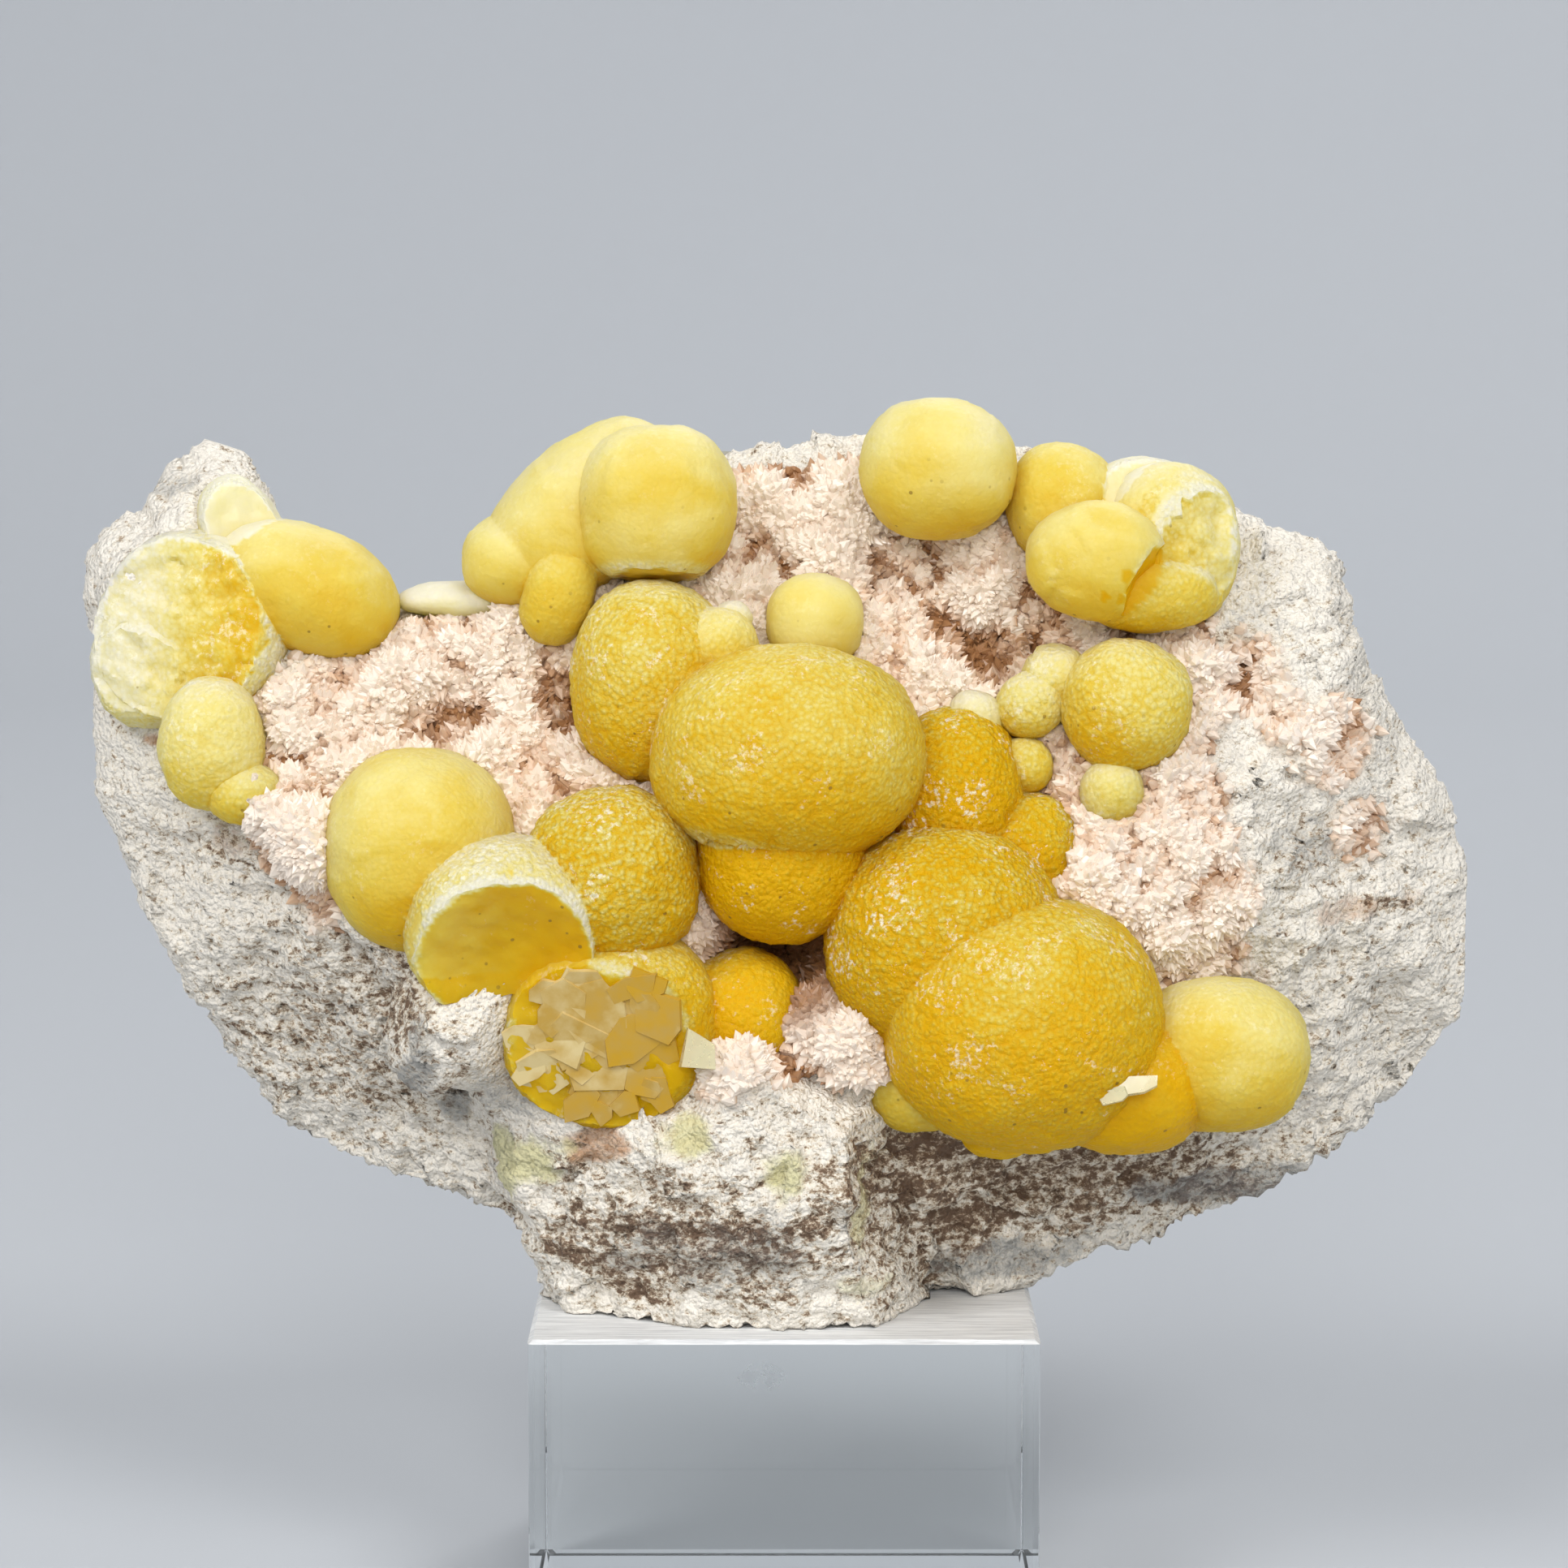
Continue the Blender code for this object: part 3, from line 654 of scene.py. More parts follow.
GREY = [(-27, 22.5, 4.5, 4, 0.7), (-60.5, 79, 3, 2, 0.7), (53, 45.5, 7, 4, 0.6),
        (-44, 26, 14, 8, 0.5), (-6, 8, 16, 6, 0.6), (40, 22, 12, 5, 0.6), (48, 68, 5, 3, 0.5),
        (-60, 30, 5, 8, 0.4), (44, 10, 14, 3, 0.8), (22, 4, 10, 2.5, 0.8),
        (-33, 24, 2.5, 9, 0.8)]
GREEN = [(-26.5, 15, 5, 3.8, 0.9), (-9, 19.5, 4.5, 3.2, 0.85), (-0.5, 16, 4, 3.4, 0.8),
         (7, 4, 5, 2, 0.5), (8.5, 13, 0.7, 7, 0.6)]
# Green chalcedony shows only in front of this depth, on the lump
GREEN_DEPTH = -8


def stains(points, table, salt):
    """The strongest of several ovals at each point: its strength falls from 1 to 0 as the
    point's distance in half widths goes from 0.4 to 1.2, and noise frays that distance."""
    x, _, h = points.T
    fray = 0.55 * crumple(points, 5, 3, salt)
    return np.max([strength * ramp(np.hypot((x - x0) / wide, (h - h0) / high) + fray, 1.2, 0.4)
                   for x0, h0, wide, high, strength in table], axis=0)


streak = ramp(swell(points * (0.15, 0.3, 1.2), 3.0, 25), 0.05, 0.5)
# Darker in the brown places, which are iron stains and, under the front balls, painted shadow;
# in the hollows, as stain and painted shade; and along the layers, as stains
stain_and_shade = stains(points, BROWN_STAINS_AND_SHADOW, 21) * (0.75 + 0.4 * streak) + 0.14 * np.clip(hollow, 0, 2)
stain_and_shade += 0.1 * streak
mesh = new_mesh("quartz_rock", rock_points, [quads, cap])
for name, values in (("hollow", hollow), ("crust", crust), ("stain_and_shade", stain_and_shade),
                     ("grey", stains(points, GREY, 23)), ("rust", stains(points, RUST, 22)),
                     ("green", stains(points, GREEN, 24) * (depth < GREEN_DEPTH))):
    put_attribute(mesh, name, values)
new_piece("quartz_rock", mesh, [rock_material], "matrix")

# %% [markdown]
# ## Chalcedony back
#
# The back and the lower edge are chalcedony: quartz so fine that it grew as a smooth, lobed
# skin, grey-green and waxy. Metaballs could make lobes, but not over a given slab. A grain
# field does: the height falls with the square of the distance from each grain's middle, so
# each grain is a round lobe. Its shell starts at the back and its edge overlaps the rock's.

# %% The skin's lobes
SKIN_ACROSS, SKIN_UP, SKIN_RINGS = 150, 100, 5
LOBE_WIDTH, BEAD_WIDTH = 9.0, 3.6
# Near the rim, the lobes rise only by this share, and by all of it this many cells in
RIM_SHARE, RIM_CELLS = 0.25, 6
points, quads, cap = shell(SKIN_ACROSS, SKIN_UP, SKIN_RINGS, 1, 0.5)
normal = facing(points, with_lid(quads, cap))
lobes, _, _ = grains(points * (1, 0.8, 1), LOBE_WIDTH, 31)
beads, _, _ = grains(points, BEAD_WIDTH, 32)
rise = 2.0 * (0.5 - lobes ** 2) + 0.45 * (0.5 - beads ** 2) + 0.2 * swell(points, 5, 33)
across, up = np.meshgrid(np.arange(SKIN_ACROSS), np.arange(SKIN_UP))
from_rim = np.minimum(np.minimum(across, SKIN_ACROSS - 1 - across),
                      np.minimum(up, SKIN_UP - 1 - up)).ravel()
calm = np.full(len(points), RIM_SHARE)
calm[:len(from_rim)] = RIM_SHARE + (1 - RIM_SHARE) * ramp(from_rim, 0, RIM_CELLS)
rise *= calm
skin_points = raised(points, normal, rise)
print("the skin rises by", rise.min().round(1), "to", rise.max().round(1), "mm")

# %% Waxy chalcedony
# Its grain is too fine to see, so it is smooth as it grew and has a soft, waxy shine: a
# roughness of 0.38. It is grey-green with paler bands some 6 mm wide, brown in the grooves
skin_material, tree, shader, place = new_material("waxy_chalcedony", {
    "Roughness": 0.38, "IOR": 1.54})
band = add_node(tree, "TexNoise", {"Vector": place, "Scale": 0.16, "Detail": 5,
                                   "Roughness": 0.6, "Distortion": 0.6})
tint = add_node(tree, "ValToRGB", {"Fac": band}, stops=[
    (0.3, "#A3A395"), (0.5, "#BDBCAF"), (0.7, "#D6D4C9")])
groove = add_node(tree, "Attribute", attribute_name="groove", out="Fac")
colour = add_node(tree, "Mix", {0: groove, 6: tint, 7: "#7C6248"}, data_type="RGBA", out=2)
tree.links.new(colour, shader.inputs["Base Color"])
# Pores of 0.4 mm. The real ones are a tenth of that and are drawn coarser, to show
pores = add_node(tree, "TexNoise", {"Vector": place, "Scale": 2.5, "Detail": 4})
bump = add_node(tree, "Bump", {"Height": pores, "Strength": 0.25, "Distance": 0.15 * MM})
tree.links.new(bump, shader.inputs["Normal"])

mesh = new_mesh("chalcedony_back", skin_points, [quads, cap])
soil = 0.3 + 0.3 * ramp(crumple(points, 30, 2, 34), -0.1, 0.5)
put_attribute(mesh, "groove", ramp(lobes, 0.5, 0.95) * soil)
new_piece("chalcedony_back", mesh, [skin_material], "matrix")

# %% [markdown]
# ## Fluorite balls
#
# Each ball is a crowd of fluorite crystals that grew outwards from one spot. Its surface is a
# mosaic of their corners, which makes it look frosted and gives it a finely toothed edge. A
# UV sphere would crowd its cells at the poles, so a ball here is six square grids pushed out
# to a sphere, with even cells all over. The balls' places are those of the solids.

# %% Ball table
# Middle x, depth, height; half widths; how pale; how coarse its mosaic; for some a turn, in
# degrees, that lifts the right end
LEFT_BALLS = {
    "right ball": (-48.3, 0, 71.4, 10.2, 8, 6.6, 0.42, 0.12, -22),
    "broken ball": (-59.3, -1.8, 67.3, 10.0, 8.5, 10.3, 0.85, 0.7, -15),
    "lower ball": (-57, -7.5, 56.5, 5.5, 5, 7, 0.62, 0.4),
    "small ball": (-53.5, -9, 51.5, 4, 3.5, 3.2, 0.5, 0.4),
    "top chip": (-54.3, 0.5, 77.0, 4.2, 5.5, 6.3, 0.85, 0.1, 30),
    "rim patch": (-63, -0.2, 63.5, 7.2, 6.5, 6.5, 0.9, 0.7),
}
MAIN_BALLS = {
    "upper ball": (-12.8, -4, 79.9, 8.5, 8, 8.4, 0.5, 0.12),
    "upper left lobe": (-26.6, 0, 74.2, 6.2, 6.6, 5.2, 0.5, 0.12),
    "upper slope": (-20.6, 0.1, 78.6, 12.4, 7.6, 7.4, 0.5, 0.12, 44),
    "upper foot": (-22.6, -3.3, 71.4, 4.1, 5, 5.9, 0.42, 0.25, -12),
    "flat piece": (-32.5, 2.5, 70.0, 7.2, 5, 2.0, 0.9, 0.1),
    "centre back": (-13, -7, 62.5, 8.6, 9, 10.5, 0.38, 0.7),
    "centre saddle": (-7, -9, 66, 4.8, 5, 4.4, 0.55, 0.4),
    "centre bead": (-5, -7, 69, 2.1, 2, 1.8, 0.85, 0.3),
    "centre top": (3, -5, 68.5, 5.2, 4.5, 4.9, 0.55, 0.1),
    "cap": (0.3, -13, 56.0, 14.0, 12.6, 11.2, 0.32, 0.6),
    "nose": (-0.3, -12.5, 46.3, 8.8, 8.8, 9.4, 0.04, 0.8),
    "back ridge": (17, -8, 50.5, 7.3, 8, 10.1, 0.1, 1.0),
    "ridge foot": (24, -9, 46, 5.8, 6, 6.1, 0.13, 0.9),
    "middle ball": (16, -13, 37.5, 12.4, 12, 12, 0.2, 1.0),
    "front ball": (23.5, -17, 30, 14.3, 13, 12.9, 0.22, 0.7),
    "front tip": (21, -16.5, 19.8, 4.2, 5, 3.6, 0.02, 0.4),
    "amber ball": (33.5, -16, 24, 9, 8.5, 7.4, 0.12, 0.3),
    "lemon ball": (43, -15, 26.5, 9.3, 8, 7.9, 0.42, 0.25),
    "left foot": (13.5, -14, 23, 6, 5, 4.7, 0.45, 0.3),
    "right ball": (34, -8, 60.3, 6.9, 6.4, 6.8, 0.46, 0.6),
    "right pair": (24.5, -7, 60.3, 3.7, 3.6, 3.6, 0.58, 0.6),
    "right pair top": (27, -6, 63, 3.6, 3.5, 3.4, 0.58, 0.5),
    "right bead": (19, -7, 59, 3, 3, 3, 0.75, 0.3),
    "right lower bead": (24, -8, 54.3, 3.1, 3, 3, 0.42, 0.5),
    "right last bead": (32.5, -10, 52, 3.3, 3, 3.3, 0.62, 0.4),
    "lower left ball": (-36, -12, 46.5, 9.9, 10, 10.4, 0.44, 0.2),
    "frosted ball": (-17, -14, 44, 9.2, 9, 9.1, 0.34, 1.0),
    "broken dome": (-27.5, -17, 39.5, 10.1, 10.5, 9.5, 0.66, 0.8),
    "broken ball": (-17.0, -14.5, 29.3, 11.4, 9.5, 10.4, 0.3, 0.7),
    "shaded ball": (-4.2, -12, 28.6, 6.7, 7, 8.2, 0.1, 0.5),
}
UPPER_RIGHT_BALLS = {
    "left ball": (15.5, -2, 83.5, 8.1, 7.5, 7.4, 0.52, 0.12),
    "saddle ball": (28, 0, 80, 6, 6, 6.3, 0.4, 0.2),
    "lens": (31, -7, 74.7, 7.2, 6, 6.2, 0.44, 0.12),
    "big ball": (38.5, -2, 75.8, 7.5, 7, 8.6, 0.5, 0.25),
    "top disc": (36, 0, 79.8, 6.9, 6, 4.9, 0.85, 0.2),
    "lower disc": (36.3, -5, 71.5, 7.1, 5, 4.3, 0.45, 0.4),
}
print(len(LEFT_BALLS) + len(MAIN_BALLS) + len(UPPER_RIGHT_BALLS), "balls")

# %% [markdown]
# Some balls are broken. They are cut with a block whose near side is the break: nearly flat
# and in low steps, as fluorite splits, or grainy, where it crumbled.

# %% Break table
# A point of the break, the way that the piece is gone, how hollow it is, how high its steps
# are, how grainy, and how pale from its left end to its right end
BREAKS = {
    ("fluorite_left", "broken ball"): [
        ((-58, -5.8, 67), (-0.22, -0.96, 0.1), -0.5, 0.12, 0.25, 1.0, 0.3)],
    ("fluorite_left", "rim patch"): [
        ((-64, -5.0, 64), (-0.3, -0.95, 0.0), 0, 0.12, 0.22, 1.0, 0.85)],
    ("fluorite_left", "top chip"): [
        ((-54, -2.4, 77), (0.15, -0.98, 0.15), 0, 0.04, 0.03, 0.95, 0.75)],
    ("fluorite_main", "upper ball"): [
        ((-13, -4, 72.8), (0, -0.2, -0.98), 0, 0.05, 0.05, 0.4, 0.4)],
    ("fluorite_main", "cap"): [
        ((0, -20, 46.6), (-0.24, -0.25, -0.94), 0.3, 0.3, 0.5, 0.3, 0.2)],
    ("fluorite_main", "broken dome"): [
        ((-27, -22.2, 38.0), (0.08, -0.9, -0.43), 1.6, 0.1, 0.08, 0.5, 0.2),
        ((-27, -20, 33.2), (0.1, -0.2, -0.97), 0, 0.1, 0.1, 0.3, 0.2)],
    ("fluorite_main", "broken ball"): [
        ((-17, -20.5, 29.5), (-0.15, -0.96, -0.18), 0.2, 0.1, 0.08, 0.22, 0.1)],
    ("fluorite_upper_right", "lens"): [
        ((35.8, -9, 72.4), (0.8, -0.35, -0.45), 0.5, 0.08, 0.05, 0.1, 0.15)],
    ("fluorite_upper_right", "top disc"): [
        ((36, -4, 80.5), (0.1, -0.85, 0.5), 0.3, 0.08, 0.05, 0.75, 0.85)],
    ("fluorite_upper_right", "big ball"): [
        ((40.5, -7.2, 75), (0.45, -0.9, 0.05), 0.2, 0.25, 0.25, 0.35, 0.75)],
}
print(sum(len(cuts) for cuts in BREAKS.values()), "breaks")

# %% [markdown]
# Every ball is the same unit sphere, stretched, turned and roughened. Fluorite wants to be a
# cube, so its balls are a little square: distance is (x^p + y^p + z^p)^(1/p), with p just
# over the 2 of a round ball.

# %% A ball's points
BALL_CELL = 0.46
SQUARENESS = 2.17
# The mosaic's corners are 0.95 mm wide and this high on a fine ball and a coarse one
CORNER_WIDTH, FINE_RISE, COARSE_RISE = 0.95, 0.06, 0.24


def unit_ball(cells):
    """Six grids on the faces of a cube, with lines at the tangents of even angles, each point
    divided by its distance from the centre. Points that two grids share are merged."""
    line = np.tan(np.linspace(-np.pi / 4, np.pi / 4, cells + 1))
    a, b = np.meshgrid(line, line)
    corner = np.arange((cells + 1) ** 2).reshape(cells + 1, cells + 1)
    square = grid_faces(corner)
    points, faces = [], []
    for axis, side in product(range(3), (1, -1)):
        sheet = np.empty((a.size, 3))
        sheet[:, axis] = side
        sheet[:, (axis + 1) % 3] = a.ravel()
        sheet[:, (axis + 2) % 3] = b.ravel()
        points.append(sheet)
        faces.append(square[:, ::side] + len(faces) * a.size)
    points, faces = np.concatenate(points), np.concatenate(faces)
    _, first, same = np.unique(points.round(6), axis=0, return_index=True, return_inverse=True)
    points = points[first]
    return points / np.linalg.norm(points, axis=1, keepdims=True), same.ravel()[faces]


def ball_frame(size):
    """A ball's middle, its half widths, and its turn about the depth axis as a matrix."""
    turn = math.radians(size[8]) if len(size) > 8 else 0.0
    spin = np.array([[math.cos(turn), 0, -math.sin(turn)], [0, 1, 0],
                     [math.sin(turn), 0, math.cos(turn)]])
    return np.array(size[:3]), np.array(size[3:6]), spin


def how_far_out(points, size):
    """0 at a ball's middle and 1 on its skin: the distance above, in half widths."""
    centre, radii, spin = ball_frame(size)
    return np.linalg.norm((points - centre) @ spin / radii, ord=SQUARENESS, axis=1)


def ball_points(size):
    """The unit ball times the half widths, turned, then pushed along its normals by swellings
    and by the mosaic of crystal corners."""
    centre, radii, spin = ball_frame(size)
    sphere, faces = unit_ball(max(8, round(np.pi / 2 * radii.mean() / BALL_CELL)))
    square = sphere / np.linalg.norm(sphere, ord=SQUARENESS, axis=1, keepdims=True)
    points = centre + 0.98 * square * radii @ spin.T
    away = sphere / radii @ spin.T
    away /= np.linalg.norm(away, axis=1, keepdims=True)
    corner, _, height = grains(points, CORNER_WIDTH, 41)
    # Swellings 6.5 and 2.6 mm wide, then the mosaic, and wide flat chips
    rise = 0.32 * swell(points, 6.5, 42) + 0.14 * swell(points, 2.6, 43)
    mosaic = (FINE_RISE + COARSE_RISE * size[7]) * (0.55 - corner + 0.5 * (height - 0.5))
    rise += mosaic + 0.12 * facets(points, 6.5, 44)
    return points + away * (rise - 0.12)[:, None], faces


print("the largest ball has", len(ball_points(MAIN_BALLS["front ball"])[0]), "points")

# %% [markdown]
# Cutting and joining are left to Blender's Boolean modifier. Its manifold solver is quick and
# keeps a closed skin, so no ball's hidden inside is left in the mesh.

# %% A block to cut with
# Half the width of the block, the width of its cells, its thickness, and how far the hollow
# in its near side reaches
BLOCK_REACH, BREAK_CELL, BLOCK_THICK, HOLLOW_REACH = 16.0, 0.4, 14, 8


def splitter(place, gone, hollow, step, grainy):
    """A block to cut with. Its near side is a grid across the direction gone: flat, sunk by
    hollow x (1 - r^2) in the middle, with level terraces from a rounded noise, and grains."""
    away = np.array(gone) / np.linalg.norm(gone)
    across = np.cross(away, (0, 0, 1))
    across /= np.linalg.norm(across)
    up = np.cross(across, -away)
    cells = round(2 * BLOCK_REACH / BREAK_CELL)
    line = np.linspace(-BLOCK_REACH, BLOCK_REACH, cells)
    a, b = (g.ravel()[:, None] for g in np.meshgrid(line, line))
    flat = np.array(place) + a * across - b * up
    near = np.clip(1 - (a ** 2 + b ** 2)[:, 0] / HOLLOW_REACH ** 2, 0, 1)
    # Terraces 5.5 mm wide, grains of 2.4 and 1.1 mm, and waves of 5 and 1.7 mm
    terrace = np.round(2.2 * swell(flat, 5.5, 61) + 1.1 * swell(flat, 1.8, 62)) * step
    terrace += grainy * (facets(flat, 2.4, 63) + 0.6 * facets(flat, 1.1, 64))
    terrace += 0.5 * swell(flat, 5, 65) + 0.3 * swell(flat, 1.7, 66)
    sunk = flat + away * (terrace - hollow * near)[:, None]
    rim, quads, lid = pot(cells, cells, 1)
    far = flat[rim] + away * BLOCK_THICK
    return np.concatenate([sunk, far, far.mean(axis=0, keepdims=True)]), quads, lid


tool_points, _, _ = splitter((0, 0, 0), (0, -1, 0), 0, 0.1, 0.1)
print("a cutting block has", len(tool_points), "points")


# %% Cut and join
def loose_object(name, points, faces, index=0):
    """A body that is used only to join or to cut, with one material number for its faces."""
    mesh = loose_mesh(name, points, faces)
    mesh.materials.append(None)
    mesh.materials.append(None)
    mesh.polygons.foreach_set("material_index", np.full(len(mesh.polygons), index))
    return new_object(name, mesh)


def boolean(body, other, operation):
    """Add a Boolean modifier that joins the other body to this one or cuts it away."""
    change = body.modifiers.new(operation.title(), "BOOLEAN")
    change.operation, change.solver, change.object = operation, "MANIFOLD", other


def joined(name, balls):
    """Cut each broken ball, then join the overlapping balls into one closed skin."""
    bodies, tools = [], []
    for ball, size in balls.items():
        points, faces = ball_points(size)
        bodies.append(loose_object(ball, points, [faces]))
        for cut in BREAKS.get((name, ball), ()):
            points, quads, lid = splitter(*cut[:5])
            tools.append(loose_object("splitter", points, [quads, lid], 1))
            boolean(bodies[-1], tools[-1], "DIFFERENCE")
    for other in bodies[1:]:
        boolean(bodies[0], other, "UNION")
    bpy.context.view_layer.update()
    skin = bodies[0].evaluated_get(bpy.context.evaluated_depsgraph_get())
    mesh = bpy.data.meshes.new_from_object(skin)
    mesh.name = name
    # Where cuts meet, a few slivers of a face come out twice, and this drops the doubles
    mesh.validate()
    for body in bodies + tools:
        bpy.data.objects.remove(body)
    print(name, "is joined from", len(balls), "balls with", len(tools), "cuts")
    return mesh


# %% [markdown]
# After the join, the mesh no longer knows its balls. Each point asks which ball it lies
# deepest in, and takes that ball's paleness and coarseness from the table.

# %% Find each point's ball
def places(mesh):
    """A mesh's points: metres / 0.001, less the stand's height."""
    flat = np.empty(len(mesh.vertices) * 3)
    mesh.vertices.foreach_get("co", flat)
    return flat.reshape(-1, 3) / MM - (0, 0, STAND_TOP)


def owner(points, balls):
    """For each point, the ball that it lies deepest in, and how far out in it, 1 at its skin."""
    out = np.stack([how_far_out(points, size) for size in balls.values()])
    return out.argmin(axis=0), out.min(axis=0)


which, out = owner(trial, MAIN_BALLS)
print((out < 1).sum(), "of", len(trial), "trial points lie inside the main balls")

# %% [markdown]
# ## The fluorite's finish
#
# Fluorite is clear yellow inside and frosted outside. Light that goes in comes out again
# deeper in colour, so thick and shaded places glow golden, and the thin frost on top looks
# paler, with white flecks. Glass with a coloured inside would show the rock through it,
# which the real, cloudy balls don't. So it is light scattered under the surface, and one
# ramp of colours from gold to cream takes care of how deep each place looks. The glow on
# lower sides and the paleness on upper ones are also painted into the colour, by the way
# the surface faces: painted glow and painted light.

# %% Frosted yellow fluorite
PALENESS = [(0.0, "#DEA900"), (0.2, "#DAAF1E"), (0.4, "#DCC04E"), (0.6, "#E3D384"),
            (1.0, "#E8E1C4")]
# White flecks are white crumbs and painted glints, so they go on the side that faces up and
# to the left, where the light falls
PAINTED_GLINT_SIDE = (-0.5, -0.3, 0.8)


def fluorite_material(name, roughness, painted_top_paleness, bump_height):
    """Yellow fluorite. Its place on the ramp is the sum of the ball's paleness, clouds, painted
    light on upper sides less painted glow on lower ones, and the mosaic's painted corners."""
    # Fluorite has a low IOR of 1.434, and frost keeps its shine down. Yellow light runs 10 mm
    # through it, and blue only 4 mm
    material, tree, shader, place = new_material(name, {
        "Roughness": roughness, "IOR": 1.434, "Specular IOR Level": 0.18,
        "Subsurface Weight": 0.45, "Subsurface Radius": (1.0, 1.0, 0.4),
        "Subsurface Scale": 10 * MM})
    pale, grit = (add_node(tree, "Attribute", attribute_name=key, out="Fac")
                  for key in ("pale", "grit"))
    normal = add_node(tree, "NewGeometry", out="Normal")
    up = add_node(tree, "SeparateXYZ", {0: normal}, out="Z")
    # Clouds 8 mm wide, crystal corners 0.6 mm wide, and etching of 0.4 mm
    cloud = add_node(tree, "TexNoise", {"Vector": place, "Scale": 0.13, "Detail": 4})
    mosaic = add_node(tree, "TexVoronoi", {"Vector": place, "Scale": 1.7})
    fine = add_node(tree, "TexNoise", {"Vector": place, "Scale": 2.6, "Detail": 3,
                                       "Roughness": 0.6})
    # Painted light and glow: upper sides go paler along the ramp, up to the painted top paleness,
    # and lower sides go deeper gold
    painted_glow_and_top = add_node(tree, "MapRange", {"Value": up, 1: -0.9, 2: 1.0, 3: -0.2, 4: painted_top_paleness})
    level = add_node(tree, "Math", {0: pale, 1: painted_glow_and_top}, operation="ADD")
    drift = add_node(tree, "MapRange", {"Value": cloud, 1: 0.3, 2: 0.7, 3: -0.12, 4: 0.12})
    level = add_node(tree, "Math", {0: level, 1: drift}, operation="ADD")
    # Painted light and shade of the mosaic: each crystal corner is painted pale and the groove
    # round it deep
    corner = add_node(tree, "MapRange", {"Value": mosaic, 1: 0.1, 2: 0.75, 3: 0.2, 4: -0.2})
    rough = add_node(tree, "MapRange", {"Value": fine, 1: 0.35, 2: 0.65, 3: -0.1, 4: 0.1})
    speck = add_node(tree, "Math", {0: corner, 1: rough}, operation="ADD")
    much = add_node(tree, "MapRange", {"Value": grit, 1: 0.15, 3: 0.05, 4: 1.0})
    level = add_node(tree, "Math", {0: speck, 1: much, 2: level}, operation="MULTIPLY_ADD")
    colour = add_node(tree, "ValToRGB", {"Fac": level}, stops=PALENESS)
    # White flecks of 0.7 mm, crumbs and painted glints, sit in patches of 5 mm on coarse balls,
    # on the side that faces the light
    glint_noise = add_node(tree, "TexNoise", {"Vector": place, "Scale": 1.5, "Detail": 3,
                                        "Roughness": 0.7})
    patch = add_node(tree, "TexNoise", {"Vector": place, "Scale": 0.2, "Detail": 2})
    side = add_node(tree, "VectorMath", {0: normal, 1: PAINTED_GLINT_SIDE},
                    operation="DOT_PRODUCT", out="Value")
    here = add_node(tree, "Math", {0: side, 1: 0.14, 2: patch}, operation="MULTIPLY_ADD")
    here = add_node(tree, "MapRange", {"Value": here, 1: 0.5, 2: 0.7})
    both = add_node(tree, "Math", {0: here, 1: 0.16, 2: glint_noise}, operation="MULTIPLY_ADD")
    both = add_node(tree, "MapRange", {"Value": both, 1: 0.67, 2: 0.8, 4: 0.75})
    glint_and_crumb = add_node(tree, "Math", {0: both, 1: grit}, operation="MULTIPLY")
    colour = add_node(tree, "Mix", {0: glint_and_crumb, 6: colour, 7: "#FBF7E6"}, data_type="RGBA", out=2)
    # Brown specks of dirt lie low on the balls: in one of three cells of 1.6 mm
    crumb = add_node(tree, "TexVoronoi", {"Vector": place, "Scale": 0.62})
    chance = add_node(tree, "SeparateColor", {0: crumb.node.outputs["Color"]})
    small = add_node(tree, "MapRange", {"Value": crumb, 1: 0.15, 2: 0.1})
    rare = add_node(tree, "MapRange", {"Value": chance, 1: 0.62, 2: 0.66})
    low = add_node(tree, "MapRange", {"Value": up, 1: 0.15, 2: -0.25})
    brown = small
    for share in (rare, low, 0.75):
        brown = add_node(tree, "Math", {0: brown, 1: share}, operation="MULTIPLY")
    colour = add_node(tree, "Mix", {0: brown, 6: colour, 7: "#8A6A2A"}, data_type="RGBA", out=2)
    tree.links.new(colour, shader.inputs["Base Color"])
    # The grooves between the corners and the etching stand in relief, high on coarse balls
    height = add_node(tree, "Math", {0: mosaic, 1: -1.0, 2: fine}, operation="MULTIPLY_ADD")
    strength = add_node(tree, "MapRange", {"Value": grit, 3: 0.12, 4: 1.0})
    bump = add_node(tree, "Bump", {"Height": height, "Strength": strength,
                                   "Distance": bump_height * MM})
    tree.links.new(bump, shader.inputs["Normal"])
    return material


# Grown balls are dull with frost and get more painted paleness on top. A break is clean, so
# it is glossier and flatter, with less painted paleness on top
fluorite = fluorite_material("frosted_yellow_fluorite", 0.5, 0.16, 0.4)
cleaved = fluorite_material("cleaved_yellow_fluorite", 0.22, 0.04, 0.12)
print(fluorite.name, "has", len(fluorite.node_tree.nodes), "nodes")

# %% [markdown]
# A break shows the ball's clear inside, so its faces take their own paleness, which may
# change from left to right. The skin along a break is bruised white, and that band fades
# with the distance from the break.

# %% Put the balls in place
# A point belongs to a break when it is this near its plane, and inside this share of the ball
BREAK_NEAR, BREAK_INSIDE = 2.2, 0.955
# The bruised band: how far out it starts and ends, its width, its paleness and its grit
BAND_FROM, BAND_TO, BAND_WIDTH, BAND_PALE, BAND_GRIT = 0.93, 1.2, 1.1, 0.35, 0.7
# The band is faint this far below the break's middle and full this far above it
BAND_BELOW, BAND_ABOVE = 4, 2
